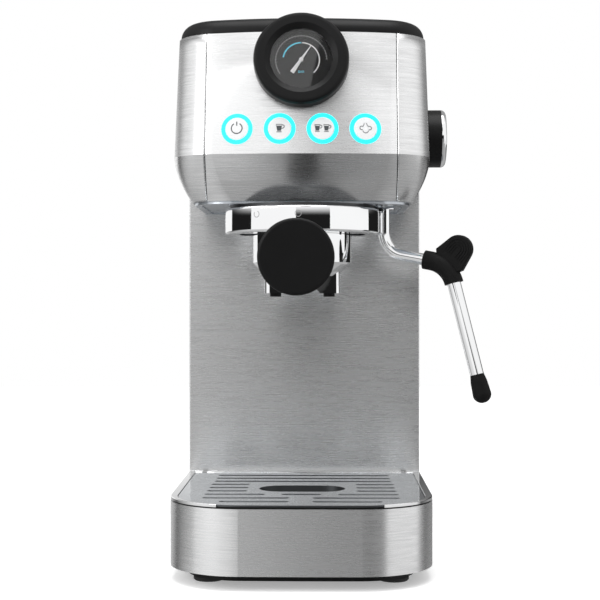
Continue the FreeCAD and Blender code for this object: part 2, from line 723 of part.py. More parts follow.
def make_steam_knob_ring():
    """The knob's polished end, rounded at its edge and dished in the middle."""
    r = KNOB_RADIUS
    outline = [(0, KNOB_MID), (r, KNOB_MID)]
    for i in range(7):
        a = math.radians(15 * i)
        outline.append((r - 3.0 + 3.0 * math.cos(a), KNOB_OUT - 2.8 + 2.8 * math.sin(a)))
    outline += [(r - 5.0, KNOB_OUT - 0.1), (r - 6.0, KNOB_OUT - 0.7), (0, KNOB_OUT - 0.9)]
    return sideways(turned(outline))


def make_steam_spindle():
    """The spindle from the knob through the side panel into the valve."""
    return rod(3.0, V(60.4, KNOB_Y, KNOB_Z), V(KNOB_IN, KNOB_Y, KNOB_Z))


PIPE_RADIUS = 3.5
PIPE_BEND = 14.5
ARM_FALL = 11.0             # degrees the arm drops below level
STEM_FALL = 75.5            # degrees the lower tube drops below level
ELBOW_REACH = 40.5          # from the swivel's axis to where the arm and the lower tube would meet
ELBOW_Z = 180.2
GRIP_BEND = 18.0
GRIP_BEFORE = 15.5
GRIP_AFTER = 11.6
STEM_END = 65.4
TIP_END = 84.4
TAB_REACH = 46.3
TAB_Z = 189.1
TAB_RADIUS = 8.4
TAB_HALF_THICKNESS = 3.0
TAB_LEAN = 50.0             # degrees that the tab points above level
TAB_FOOT = [(32.9, 189.5), (33.5, 184.0), (44.0, 174.5), (48.8, 176.4)]


def wand_point(reach, z):
    """A point in the wand's plane, which runs forward and to the right of its swivel."""
    a = math.radians(WAND_TURN)
    return V(WAND_X + reach * math.cos(a), WAND_Y + reach * math.sin(a), z)


def along_arm(distance):
    """A point on the arm, measured from the elbow back towards the swivel."""
    a = math.radians(ARM_FALL)
    return wand_point(ELBOW_REACH - distance * math.cos(a), ELBOW_Z + distance * math.sin(a))


def along_stem(distance):
    """A point on the lower tube, measured from the elbow towards the tip."""
    a = math.radians(STEM_FALL)
    return wand_point(ELBOW_REACH + distance * math.cos(a), ELBOW_Z - distance * math.sin(a))


def make_wand_socket():
    """The nut under the head that the wand swivels in."""
    body = joined([disc(6.6, 213.6, 222, WAND_X, WAND_Y), disc(5.5, 222, 232, WAND_X, WAND_Y)])
    return body.cut(disc(PIPE_RADIUS + 0.05, 210, 226, WAND_X, WAND_Y))


def make_wand_pipe():
    """The steam pipe: straight down from its swivel, then round to the side."""
    corner_z = ELBOW_Z + ELBOW_REACH * math.tan(math.radians(ARM_FALL))
    points = [V(WAND_X, WAND_Y, 225.5), V(WAND_X, WAND_Y, corner_z), along_arm(GRIP_BEFORE - 6)]
    return tube(points, PIPE_RADIUS, PIPE_BEND, 2.2)


def tangent_point(corner, radius, side):
    """Where a line from a corner touches a circle about the origin, on one side of it."""
    away = math.atan2(corner.y, corner.x)
    swing = math.acos(radius / corner.Length)
    return V(radius * math.cos(away + side * swing), radius * math.sin(away + side * swing), 0)


def make_wand_grip():
    """The black grip at the elbow, with a flat thumb tab that carries raised rounded ribs."""
    sleeve = tube([along_arm(GRIP_BEFORE), wand_point(ELBOW_REACH, ELBOW_Z), along_stem(GRIP_AFTER)],
                  5.65, GRIP_BEND)
    a = math.radians(WAND_TURN)
    right = V(math.cos(a), math.sin(a), 0)
    outward = right.cross(UP)
    end = wand_point(TAB_REACH, TAB_Z)
    lean = math.radians(TAB_LEAN)
    tab_up = right * math.cos(lean) + UP * math.sin(lean)
    tab_right = tab_up.cross(outward)
    half = TAB_HALF_THICKNESS
    corners = []
    for reach, z in TAB_FOOT:
        away = wand_point(reach, z) - end
        corners.append(V(away.dot(tab_right), away.dot(tab_up), 0))
    corners = [tangent_point(corners[0], TAB_RADIUS, -1)] + corners
    corners.append(tangent_point(corners[-1], TAB_RADIUS, 1))
    fan = Part.Face(Part.makePolygon(corners + corners[:1])).extrude(V(0, 0, 2 * half))
    plate = joined([disc(TAB_RADIUS, -half, half), fan.translated(V(0, 0, -half))])
    rim = [e for e in plate.Edges if e.BoundBox.ZLength < 1e-4]
    plate = plate.makeFillet(1.0, rim)
    ribs = []
    for radius in (1.7, 3.2, 4.7, 6.2):
        for z0, z1 in ((half - 0.2, half + 0.4), (-half - 0.4, -half + 0.2)):
            arch = ring(radius + 0.4, radius - 0.4, z0, z1)
            arch = arch.common(box(-10, 10, 0, 10, z0, z1))
            legs = [box(x - 0.4, x + 0.4, -5.0, 0, z0, z1) for x in (-radius, radius)]
            ribs.append(joined([arch] + legs))
    tab = placed(joined([plate] + ribs), end, tab_right, tab_up, outward)
    grip = joined([sleeve, tab])
    pipe_hole = rod(PIPE_RADIUS, along_arm(GRIP_BEFORE - 6), along_arm(GRIP_BEFORE + 3))
    stem_hole = rod(4.05, along_stem(GRIP_AFTER - 5), along_stem(GRIP_AFTER + 3))
    return without(grip, [pipe_hole, stem_hole])


def make_wand_sleeve():
    """The polished lower tube of the wand."""
    start, end = along_stem(GRIP_AFTER - 5), along_stem(STEM_END + 4)
    return rod(4.05, start, end).cut(rod(2.6, start, end))


def make_wand_tip():
    """The black bulb at the end of the wand, with its steam hole."""
    length = TIP_END - STEM_END
    outline = [(0, 0), (3.65, 0), (4.1, 2.0), (4.9, 6.0)]
    radius = 5.5
    for i in range(10):
        a = math.radians(10 * i)
        outline.append((radius * math.cos(a), length - radius * 0.95 + radius * 0.95 * math.sin(a)))
    outline.append((0, length))
    bulb = turned(outline)
    bulb = without(bulb, [disc(4.05, -1, 4), disc(1.0, 2, length + 1)])
    start = along_stem(STEM_END)
    down = (along_stem(STEM_END + 1) - start).normalize()
    side = V(-math.sin(math.radians(WAND_TURN)), math.cos(math.radians(WAND_TURN)), 0)
    return placed(bulb, start, side, down.cross(side), down)


# ---- filter holder ------------------------------------------------------------------------------

HOLDER_RADIUS = 29.5
HOLDER_TOP = 203.3
HOLDER_SHOULDER = 180.6
HOLDER_BOTTOM = 173.2
HOLDER_BOTTOM_RADIUS = 20.0
SPOUT_TOP = 175.8
SPOUT_BOTTOM = 163.0
HANDLE_ROOT_Z = 187.2
HANDLE_FALL = 3.0
HANDLE_LENGTH = 155.7


def along_handle(distance):
    """A point on the handle's axis, measured from the side of the filter holder."""
    a = math.radians(HANDLE_FALL)
    return V(0, GROUP_Y - HOLDER_RADIUS - distance * math.cos(a), HANDLE_ROOT_Z - distance * math.sin(a))


def on_handle(shape):
    """Lay a shape made round Z along the handle, with +Z towards the user."""
    start = along_handle(0)
    out = (along_handle(1) - start).normalize()
    return placed(shape, start, V(1, 0, 0), out.cross(V(1, 0, 0)), out)


def make_portafilter_body():
    """The chrome filter holder: a thick cup with two locking lugs and a boss for the handle."""
    r = HOLDER_RADIUS
    cup = turned([(4, HOLDER_BOTTOM), (HOLDER_BOTTOM_RADIUS, HOLDER_BOTTOM), (r - 1, HOLDER_SHOULDER - 0.6),
                  (r, HOLDER_SHOULDER + 0.6), (r, HOLDER_TOP), (27.2, HOLDER_TOP), (27.2, 185.5), (4, 183.0)])
    cup = cup.translated(V(0, GROUP_Y, 0))
    lugs = [wedge(37.2, r - 1, GROOVE_BOTTOM + 0.4, GROOVE_TOP - 0.4, middle, LUG_HALF_ANGLE)
            for middle in (LUG_TURN, LUG_TURN + 180)]
    boss = on_handle(disc(8.6, -2.0, 4.0))
    inside = disc(27.2, 185.5, 210, 0, GROUP_Y)
    return joined([cup, boss] + lugs).cut(inside)


def make_filter_basket():
    """The pressed steel basket for the coffee."""
    basket = turned([(0, 187), (25.6, 187), (26.9, 189), (26.9, HOLDER_TOP), (29.2, HOLDER_TOP),
                     (29.2, HOLDER_TOP + 0.9), (26.1, HOLDER_TOP + 0.9), (26.1, 189.4), (25.2, 187.8),
                     (0, 187.8)])
    return basket.translated(V(0, GROUP_Y, 0))


def make_spout_block():
    """The double spout: two legs with an arch between them, let in under the holder's cone."""
    block = box(-22.25, 22.25, GROUP_Y - 9, GROUP_Y + 9, SPOUT_BOTTOM, SPOUT_TOP)
    upright = [e for e in block.Edges if e.BoundBox.ZLength > 1]
    block = block.makeFillet(3.0, upright)
    axis_z = SPOUT_BOTTOM - 7.0
    arch = rod(12.7, V(0, GROUP_Y - 12, axis_z), V(0, GROUP_Y + 12, axis_z))
    ways = [disc(2.2, SPOUT_BOTTOM - 1, HOLDER_BOTTOM - 1.5, x, GROUP_Y) for x in (-16, 16)]
    cone = turned([(0, HOLDER_BOTTOM), (HOLDER_BOTTOM_RADIUS, HOLDER_BOTTOM),
                   (HOLDER_RADIUS - 1, HOLDER_SHOULDER - 0.6), (0, HOLDER_SHOULDER - 0.6)])
    return without(block, [arch, cone.translated(V(0, GROUP_Y, 0))] + ways)


def make_spout_tips():
    """The two black nozzles under the spout."""
    return Part.makeCompound([ring(3.35, 2.2, SPOUT_BOTTOM - 2, SPOUT_BOTTOM, x, GROUP_Y) for x in (-16, 16)])


def make_handle_ferrule():
    """The polished ring between the filter holder and its handle."""
    return on_handle(turned([(0, 4), (8.6, 4), (10.4, 5.4), (10.8, 8), (10.8, 13), (10.2, 14), (0, 14)]))


def make_portafilter_handle():
    """The black handle, swelling from the ferrule to a flat round end."""
    end = HANDLE_LENGTH
    stations = [(14, 10.2), (16, 11.0), (45, 12.2), (80, 14.2), (115, 16.3), (140, 17.7), (end - 5, 18.1)]
    outline = [V(r, 0, s) for s, r in stations]
    side = Part.BSplineCurve()
    side.interpolate(outline[1:])
    edges = [Part.LineSegment(V(0, 0, 14), outline[0]).toShape(),
             Part.LineSegment(outline[0], outline[1]).toShape(),
             side.toShape(),
             Part.LineSegment(outline[-1], V(18.1, 0, end - 1.4)).toShape(),
             Part.Arc(V(18.1, 0, end - 1.4), V(17.69, 0, end - 0.41), V(16.7, 0, end)).toShape(),
             Part.LineSegment(V(16.7, 0, end), V(0, 0, end)).toShape(),
             Part.LineSegment(V(0, 0, end), V(0, 0, 14)).toShape()]
    return on_handle(Part.Face(Part.Wire(edges)).revolve(V(0, 0, 0), UP, 360))


# ---- drip tray ----------------------------------------------------------------------------------

BAND_BOTTOM = 8.3
TUB_TOP = 45.8
RAIL_INSIDE = 70.5
RAIL_FRONT_WIDTH = 0.7      # the rail would be this narrow at the very front, so it ends before that
RAIL_CORNER = 38.0
RAIL_END_X = 46.0
RAIL_BACK_INSIDE = -20.5
RAIL_TOP = 47.5
SLOT_PITCH = 14.25
SLOT_WIDTH = 4.6
FIRST_SLOT_Y = -35.2


def make_drip_band():
    """The tray's brushed steel band, bent round both front corners."""
    return tray_slab(BAND_BOTTOM, TRAY_TOP, 0).cut(tray_slab(0, 60, SHEET, 0))


def make_drip_tub():
    """The black tub inside the band, which catches the drips, with a ledge that the grid rests over."""
    outside = tray_slab(BAND_BOTTOM + 0.3, TUB_TOP, SHEET + 0.05)
    inside = tray_slab(BAND_BOTTOM + 2.7, TUB_TOP - 3, SHEET + 2.8, COLUMN_FRONT - 3.2)
    mouth = tray_slab(TUB_TOP - 4, TUB_TOP + 1, SHEET + 5.0, COLUMN_FRONT - 7.5)
    return without(outside, [inside, mouth])


def rail_slab(z0, z1, inset):
    """A slab with the outline that the rails leave inside them."""
    return plan_solid(z0, z1, RAIL_INSIDE - inset, BODY_FRONT + RAIL_FRONT_WIDTH + inset,
                      TRAY_FRONT_ARC - RAIL_FRONT_WIDTH - inset, RAIL_CORNER - inset,
                      RAIL_BACK_INSIDE - inset)


def make_tray_rails():
    """The polished rim of the tray, thinning round the front corners and notched at the back ones."""
    outer = tray_slab(TUB_TOP, RAIL_TOP, 0.1, COLUMN_FRONT - 0.6)
    rails = outer.cut(rail_slab(40, 60, 0))
    rails = rails.cut(box(-RAIL_END_X, RAIL_END_X, -170, -130, 40, 60))
    rails = rounded_top(rails, RAIL_TOP, 0.4)
    notches = [box(x - 1.6, x + 1.6, -22, -14, TUB_TOP + 0.6, 60) for x in (-64.5, 64.5)]
    return without(rails, notches)


def grid_slots():
    """The slots: five across-rows that make way for the middle, and four at the front."""
    rows = [[(-54, 54)]] * 3 + [[(-55, -32.5), (32.5, 55)]] * 3
    rows += [[(-55.5, -21.5), (-11, 11), (21.5, 55.5)], [(-55.4, -7), (7, 55.4)], [(-45, -7), (7, 45)]]
    cutters = []
    for i, spans in enumerate(rows):
        for x0, x1 in spans:
            cutters.append(slot(x0, x1, FIRST_SLOT_Y - i * SLOT_PITCH, SLOT_WIDTH, 40, 60))
    return cutters


FINGER_Y = -96.0
SLOT_CHAMFER = 0.55


def inside_slots(bounds):
    """True for an edge that lies in the slotted field rather than on the grid's outline."""
    last_row = FIRST_SLOT_Y - 8 * SLOT_PITCH - SLOT_WIDTH
    return abs(bounds.XMax) < 57 and abs(bounds.XMin) < 57 and bounds.YMin > last_row and bounds.YMax < -30


def make_drip_grid():
    """The removable steel grid with rows of slots and a finger hole with a turned-down edge."""
    z0, z1 = GRID_BOTTOM, GRID_BOTTOM + GRID_THICKNESS
    plate = without(rail_slab(z0, z1, SEAM), grid_slots())
    rims = [e for e in plate.Edges if e.BoundBox.ZMin > z1 - 1e-4 and inside_slots(e.BoundBox)]
    plate = plate.makeChamfer(SLOT_CHAMFER, rims)
    finger = slot(-25.5, 25.5, FINGER_Y, 27.0, 30, 60)
    edge = slot(-26.5, 26.5, FINGER_Y, 29.0, z0 - 3, z0)
    return joined([plate, edge]).cut(finger)


# ---- water tank ---------------------------------------------------------------------------------

WALL = 2.2
EAR_X = 40.0


def tank_slab(inset, z0, z1):
    """A slab with the tank's outline, rounded at its back corners."""
    w = TANK_HALF_WIDTH - inset
    slab = box(-w, w, TANK_FRONT + inset, TANK_BACK - inset, z0, z1)
    upright = [e for e in slab.Edges if e.BoundBox.ZLength > 1 and e.BoundBox.YMin > TANK_BACK - inset - 1]
    return slab.makeFillet(12.0 - inset, upright)


def make_water_tank():
    """The clear tank, with hinge ears for its lid at the back."""
    shell = tank_slab(0, TANK_BOTTOM, TANK_TOP).cut(tank_slab(WALL, TANK_BOTTOM + WALL, TANK_TOP + 1))
    ears = []
    for sign in (-1, 1):
        x0, x1 = sorted((sign * EAR_X, sign * (EAR_X + 4)))
        web = box(x0, x1, TANK_BACK - 0.1, LID_AXIS_Y, 305, TANK_TOP - 0.5)
        knuckle = rod(3.0, V(x0, LID_AXIS_Y, LID_AXIS_Z), V(x1, LID_AXIS_Y, LID_AXIS_Z))
        ears.append(joined([web, knuckle]).cut(tank_slab(0.05, 300, TANK_TOP)))
    pin_hole = rod(1.55, V(-60, LID_AXIS_Y, LID_AXIS_Z), V(60, LID_AXIS_Y, LID_AXIS_Z))
    outlet = disc(6.9, 50, 70, 0, SEAT_Y)
    return without(joined([shell] + ears), [pin_hole, outlet])


def make_tank_valve():
    """The valve in the tank's floor, which the seat pushes open."""
    return joined([disc(9.0, 50.5, TANK_BOTTOM, 0, SEAT_Y), disc(6.9, TANK_BOTTOM, 67, 0, SEAT_Y)])


def make_tank_lid():
    """The black lid of the tank, level with the top cover, with knuckles and pins at its back."""
    bottom = TANK_TOP + SEAM
    lid = tank_slab(0, bottom, COVER_TOP)
    rim = [e for e in lid.Edges if e.BoundBox.ZMin > COVER_TOP - 1e-4 and e.BoundBox.YMax > TANK_FRONT + 1]
    lid = lid.makeFillet(COVER_ROUNDING, rim)
    lid = lid.cut(tank_slab(3.2, bottom - 1, COVER_TOP - 3.5))
    arms = []
    for sign in (-1, 1):
        x0, x1 = sorted((sign * (EAR_X + 4.4), sign * (EAR_X + 12)))
        arm = box(x0, x1, TANK_BACK - 1, LID_AXIS_Y, LID_AXIS_Z, LID_AXIS_Z + 5.5)
        knuckle = rod(3.0, V(x0, LID_AXIS_Y, LID_AXIS_Z), V(x1, LID_AXIS_Y, LID_AXIS_Z))
        knuckle = knuckle.cut(box(x0 - 1, x1 + 1, TANK_BACK - 5, TANK_BACK + SEAM, 300, 330))
        ends = sorted((sign * (EAR_X + 0.3), sign * (EAR_X + 5)))
        pin = rod(1.5, V(ends[0], LID_AXIS_Y, LID_AXIS_Z), V(ends[1], LID_AXIS_Y, LID_AXIS_Z))
        arms += [arm, knuckle, pin]
    return joined([lid] + arms)


# ---- build --------------------------------------------------------------------------------------

shell = head_shell()
nodes = {
    "base_plate": make_base_plate(),
    "feet": make_feet(),
    "column_casing": make_column_casing(),
    "chassis": make_chassis(),
    "rear_cover": make_rear_cover(),
    "cord_gland": make_cord_gland(),
    "case_screws": make_case_screws(),
    "head_front_panel": make_head_front_panel(shell),
    "head_side_left": make_head_side(shell, -1),
    "head_side_right": make_head_side(shell, 1),
    "top_cover": make_top_cover(),
    "cup_warmer_plate": make_cup_warmer_plate(),
    "head_underside": make_head_underside(),
    "gauge_bezel": make_gauge_bezel(),
    "gauge_dial": make_gauge_dial(),
    "gauge_glass": make_gauge_glass(),
    "gauge_movement": make_gauge_movement(),
    "gauge_needle": make_gauge_needle(),
    "button_light_rings": make_button_light_rings(),
    "control_board": make_control_board(),
    "button_switches": make_button_switches(),
    "group_collar": make_group_collar(),
    "group_head": make_group_head(),
    "group_gasket": make_group_gasket(),
    "shower_screen": make_shower_screen(),
    "thermoblock": make_thermoblock(),
    "thermostats": make_thermostats(),
    "pump": make_pump(),
    "pump_mounts": make_pump_mounts(),
    "solenoid_valve": make_solenoid_valve(),
    "steam_valve": make_steam_valve(),
    "steam_tube": make_steam_tube(),
    "suction_hose": make_suction_hose(),
    "pressure_tube": make_pressure_tube(),
    "tank_seat": make_tank_seat(),
    "steam_knob": make_steam_knob(),
    "steam_knob_ring": make_steam_knob_ring(),
    "steam_spindle": make_steam_spindle(),
    "wand_socket": make_wand_socket(),
    "wand_pipe": make_wand_pipe(),
    "wand_grip": make_wand_grip(),
    "wand_sleeve": make_wand_sleeve(),
    "wand_tip": make_wand_tip(),
    "portafilter_body": make_portafilter_body(),
    "filter_basket": make_filter_basket(),
    "spout_block": make_spout_block(),
    "spout_tips": make_spout_tips(),
    "handle_ferrule": make_handle_ferrule(),
    "portafilter_handle": make_portafilter_handle(),
    "drip_band": make_drip_band(),
    "drip_tub": make_drip_tub(),
    "tray_rails": make_tray_rails(),
    "drip_grid": make_drip_grid(),
    "water_tank": make_water_tank(),
    "tank_valve": make_tank_valve(),
    "tank_lid": make_tank_lid(),
}
for name, x in zip(("power", "one_cup", "two_cups", "steam"), BUTTON_X):
    nodes["button_" + name] = make_button(x)

for name, shape in nodes.items():
    shape.exportStep("parts/" + name + ".step")
    print(name, "solids", len(shape.Solids), "volume", round(shape.Volume / 1000, 2), "cm3",
          "valid" if shape.isValid() else "NOT VALID")
print(len(nodes), "pieces")
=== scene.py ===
# %% [markdown]
# # A slim espresso machine
# The machine's frame comes from CAD, and this script gives it its looks: steel with a brushed grain, chrome,
# black plastic, a glowing ring round each button and a printed gauge. The frame is loaded first, because
# every new piece takes its place and its size from it.

# %% Load the frame
import math

import bmesh
import bpy
import numpy as np
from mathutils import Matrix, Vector


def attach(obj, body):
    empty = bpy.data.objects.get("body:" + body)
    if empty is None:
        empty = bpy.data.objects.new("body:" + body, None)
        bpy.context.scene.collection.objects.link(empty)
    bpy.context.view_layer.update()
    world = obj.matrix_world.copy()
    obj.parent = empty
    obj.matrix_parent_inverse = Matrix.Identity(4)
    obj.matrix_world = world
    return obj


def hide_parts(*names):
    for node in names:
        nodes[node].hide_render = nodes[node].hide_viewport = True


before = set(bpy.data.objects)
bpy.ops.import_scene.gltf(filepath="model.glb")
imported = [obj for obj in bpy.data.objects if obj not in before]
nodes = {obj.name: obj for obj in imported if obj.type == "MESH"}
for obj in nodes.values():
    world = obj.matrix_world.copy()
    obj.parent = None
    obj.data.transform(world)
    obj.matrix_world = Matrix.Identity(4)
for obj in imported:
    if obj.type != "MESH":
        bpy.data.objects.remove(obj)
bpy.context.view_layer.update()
MM = 0.001

# %% [markdown]
# ## Camera
# A long lens a good way off keeps the machine's upright lines upright. The camera is level, because a tilted
# one would make the column lean. It stands a little right of the middle and turns back by one degree.

# %% Camera
scene = bpy.context.scene
camera_data = bpy.data.cameras.new("camera")
camera_data.lens = 82.8
camera_data.sensor_width = 36.0
camera = bpy.data.objects.new("camera", camera_data)
camera.location = (0.0136, -0.915, 0.159)
camera.rotation_euler = (math.radians(90), 0, math.radians(1.04))
scene.collection.objects.link(camera)
scene.camera = camera
scene.view_settings.view_transform = "Standard"
print("camera placed", tuple(round(c, 3) for c in camera.location))

# %% [markdown]
# ## Studio
# Metal has hardly any colour of its own: it shows what stands around it. A studio puts white and black cards
# round it, so that chrome gets crisp bands and brushed steel gets soft ones. The cards are painted
# here into the surroundings, as bands of azimuth near the horizon. A lower, softer row stands in front of the
# tray, white light comes from above, and the floor glows grey. The camera itself sees plain white.

# %% Studio surroundings
# Each card is (where it starts, how bright it is). Azimuth is in degrees from straight in front, positive
# towards the machine's right-hand side.
CARDS = [(-180, 1.0), (-128, 0.012), (-81, 1.0), (-8.6, 0.012), (41, 1.0), (116, 0.012)]
CARD_TOP = (0.085, 0.20)            # sine of the elevation over which the cards give way to the ceiling
CARD_FOOT = (-0.045, -0.13)         # and over which they give way to a lower, softer row of cards
LOW_CARDS = [(-180, 0.9), (-128, 0.10), (-84, 0.70), (-62, 0.80), (-34, 0.72), (-14, 0.58), (-5, 0.50),
             (5, 0.26), (18, 0.16), (36, 0.24), (44, 0.80), (100, 0.78), (112, 0.10), (140, 0.30)]
LOW_FOOT = (-0.26, -0.36)           # over which the lower row gives way to the floor
NEAR_FLOOR = [(-180, 0.34), (-60, 0.60), (-24, 0.62), (-8, 0.34), (0, 0.18), (8, 0.20), (26, 0.35),
              (80, 0.42)]
UNDER_FLOOR = 0.20
UNDER_START = (-0.88, -0.97)        # over which the floor's glow gives way to the shade right underneath
CEILING_FRONT, CEILING_BACK = 1.0, 0.34
CEILING_TURN = (95, 140)            # degrees of azimuth over which the ceiling dims
FLAG_EDGE, FLAG_SLOPE, FLAG_END, FLAG_LEVEL = -0.73, 0.244, 17.0, 0.05
FLAG_LOW, FLAG_HIGH = (22, 26), (42, 38)    # degrees of height over which the flag starts and stops


def math_node(tree, operation, *values):
    """A Math node whose inputs are sockets or plain numbers. Returns its output socket."""
    node = tree.nodes.new("ShaderNodeMath")
    node.operation = operation
    for i, value in enumerate(values):
        if isinstance(value, (int, float)):
            node.inputs[i].default_value = value
        else:
            tree.links.new(value, node.inputs[i])
    return node.outputs[0]


def ranged(tree, value, low, high, out_low=0.0, out_high=1.0, smooth=False):
    """A Map Range node from low..high to out_low..out_high. Returns its output socket."""
    node = tree.nodes.new("ShaderNodeMapRange")
    node.interpolation_type = "SMOOTHSTEP" if smooth else "LINEAR"
    tree.links.new(value, node.inputs["Value"])
    for name, number in (("From Min", low), ("From Max", high), ("To Min", out_low), ("To Max", out_high)):
        node.inputs[name].default_value = number
    return node.outputs["Result"]


def mixed(tree, factor, a, b, kind="RGBA", blend="MIX"):
    """A Mix node for colours or numbers; a, b and factor are sockets or values. Returns its output socket."""
    node = tree.nodes.new("ShaderNodeMix")
    node.data_type = kind
    if kind == "RGBA":
        node.blend_type = blend
    suffix = {"RGBA": "Color", "FLOAT": "Float"}[kind]
    sockets = {i.identifier: i for i in node.inputs}
    for key, value in (("Factor_Float", factor), ("A_" + suffix, a), ("B_" + suffix, b)):
        if isinstance(value, bpy.types.NodeSocket):
            tree.links.new(value, sockets[key])
        else:
            sockets[key].default_value = value
    return {o.identifier: o for o in node.outputs}["Result_" + suffix]


def card_row(tree, turn, cards, interpolation):
    """A colour ramp over azimuth that holds a row of cards. Returns its colour socket."""
    ramp = tree.nodes.new("ShaderNodeValToRGB")
    ramp.color_ramp.interpolation = interpolation
    stops = ramp.color_ramp.elements
    while len(stops) < len(cards):
        stops.new(0.5)
    for stop, (degrees, level) in zip(stops, cards):
        stop.position = degrees / 360 + 0.5
        stop.color = (level, level, level, 1)
    tree.links.new(turn, ramp.inputs[0])
    return ramp.outputs["Color"]


def build_world():
    """White to the camera; cards, ceiling and floor glow to everything else."""
    world = bpy.data.worlds.new("studio")
    world.use_nodes = True
    scene.world = world
    tree = world.node_tree
    tree.nodes.clear()
    direction = tree.nodes.new("ShaderNodeTexCoord").outputs["Generated"]
    split = tree.nodes.new("ShaderNodeSeparateXYZ")
    tree.links.new(direction, split.inputs[0])
    x, y, z = split.outputs
    forward = math_node(tree, "MULTIPLY", y, -1.0)
    azimuth = math_node(tree, "ARCTAN2", x, forward)
    azimuth = math_node(tree, "MULTIPLY", azimuth, 180 / math.pi)
    height = math_node(tree, "MULTIPLY", math_node(tree, "ARCSINE", z), 180 / math.pi)
    turn = ranged(tree, azimuth, -180, 180)
    cards = card_row(tree, turn, CARDS, "CONSTANT")
    low_cards = card_row(tree, turn, LOW_CARDS, "LINEAR")
    floor_glow = card_row(tree, turn, NEAR_FLOOR, "EASE")
    across = math_node(tree, "ABSOLUTE", azimuth)
    ceiling = ranged(tree, across, *CEILING_TURN, CEILING_FRONT, CEILING_BACK, smooth=True)
    tilt = math_node(tree, "MULTIPLY", math_node(tree, "SUBTRACT", height, 30.0), FLAG_SLOPE)
    beyond = math_node(tree, "SUBTRACT", azimuth, math_node(tree, "ADD", tilt, FLAG_EDGE))
    flag = math_node(tree, "MULTIPLY", ranged(tree, beyond, -0.03, 0.03),
                     ranged(tree, beyond, FLAG_END, FLAG_END - 3))
    flag = math_node(tree, "MULTIPLY", flag, ranged(tree, height, *FLAG_LOW, smooth=True))
    flag = math_node(tree, "MULTIPLY", flag, ranged(tree, height, *FLAG_HIGH, smooth=True))
    ceiling = mixed(tree, flag, ceiling, FLAG_LEVEL, "FLOAT")
    above = ranged(tree, z, *CARD_TOP, smooth=True)
    below = ranged(tree, z, *CARD_FOOT, smooth=True)
    lowest = ranged(tree, z, *UNDER_START, smooth=True)
    glow = mixed(tree, above, cards, ceiling)
    glow = mixed(tree, below, glow, low_cards)
    glow = mixed(tree, ranged(tree, z, *LOW_FOOT, smooth=True), glow, floor_glow)
    under = UNDER_FLOOR
    glow = mixed(tree, lowest, glow, (under * 0.95, under, under * 1.06, 1))
    camera_ray = tree.nodes.new("ShaderNodeLightPath").outputs["Is Camera Ray"]
    seen = mixed(tree, camera_ray, glow, (1, 1, 1, 1))
    background = tree.nodes.new("ShaderNodeBackground")
    tree.links.new(seen, background.inputs["Color"])
    output = tree.nodes.new("ShaderNodeOutputWorld")
    tree.links.new(background.outputs[0], output.inputs["Surface"])
    return world


build_world()
print(f"studio with {len(CARDS)} cards")

# %% [markdown]
# ## Floor and lamps
# The floor is pale and plain. It is kept out of mirror reflections, because the surroundings already hold a
# floor glow for them. Two big area lamps give the black plastic its soft highlights.

# %% Floor and lamps
FLOOR_HALF = 1.6


def build_floor():
    """A flat square under the feet."""
    h = FLOOR_HALF
    mesh = bpy.data.meshes.new("floor")
    mesh.from_pydata([(-h, -h, 0), (h, -h, 0), (h, h, 0), (-h, h, 0)], [], [(0, 1, 2, 3)])
    floor = bpy.data.objects.new("floor", mesh)
    scene.collection.objects.link(floor)
    material = bpy.data.materials.new("floor_white")
    material.use_nodes = True
    shader = material.node_tree.nodes["Principled BSDF"]
    shader.inputs["Base Color"].default_value = (0.93, 0.93, 0.93, 1)
    shader.inputs["Roughness"].default_value = 0.9
    shader.inputs["Specular IOR Level"].default_value = 0.0
    shader.inputs["Emission Color"].default_value = (1, 1, 1, 1)
    shader.inputs["Emission Strength"].default_value = 0.35
    mesh.materials.append(material)
    floor.visible_glossy = False
    return floor


def soft_lamp(name, place, target, size, watts):
    """A square area lamp at a place, turned to face a target."""
    data = bpy.data.lights.new(name, "AREA")
    data.size = size
    data.energy = watts
    lamp = bpy.data.objects.new(name, data)
    lamp.location = place
    lamp.rotation_euler = (Vector(target) - Vector(place)).to_track_quat("-Z", "Y").to_euler()
    scene.collection.objects.link(lamp)
    return lamp


build_floor()
soft_lamp("top_lamp", (0.0, -0.25, 1.3), (0, -0.02, 0.15), 0.9, 9.0)
soft_lamp("left_lamp", (-1.0, -0.9, 0.75), (0, -0.05, 0.16), 0.6, 5.0)
print("floor and lamps in place")

# %% [markdown]
# ## Effects that several finishes share
# A shader node group works like a function: it is built once and placed in each material with that
# material's own numbers. Brushing leaves short scratches that all run level, so its noise is stretched
# along X and Y and squeezed along Z. It suits every upright wall, whichever way the wall faces.


# %% Shared effects
def new_group(name, inputs, outputs):
    """An empty shader node group. inputs are (name, socket type, default) and outputs (name, type)."""
    group = bpy.data.node_groups.new(name, "ShaderNodeTree")
    for label, kind, default in inputs:
        socket = group.interface.new_socket(name=label, in_out="INPUT", socket_type=kind)
        if default is not None:
            socket.default_value = default
    for label, kind in outputs:
        group.interface.new_socket(name=label, in_out="OUTPUT", socket_type=kind)
    return group, group.nodes.new("NodeGroupInput"), group.nodes.new("NodeGroupOutput")


def noise(tree, vector, scale, detail=2.0, roughness=0.5):
    """A 3-D Noise Texture. scale is a number or a socket. Returns its value socket."""
    node = tree.nodes.new("ShaderNodeTexNoise")
    if isinstance(scale, (int, float)):
        node.inputs["Scale"].default_value = scale
    else:
        tree.links.new(scale, node.inputs["Scale"])
    node.inputs["Detail"].default_value = detail
    node.inputs["Roughness"].default_value = roughness
    tree.links.new(vector, node.inputs["Vector"])
    return node.outputs["Fac"]


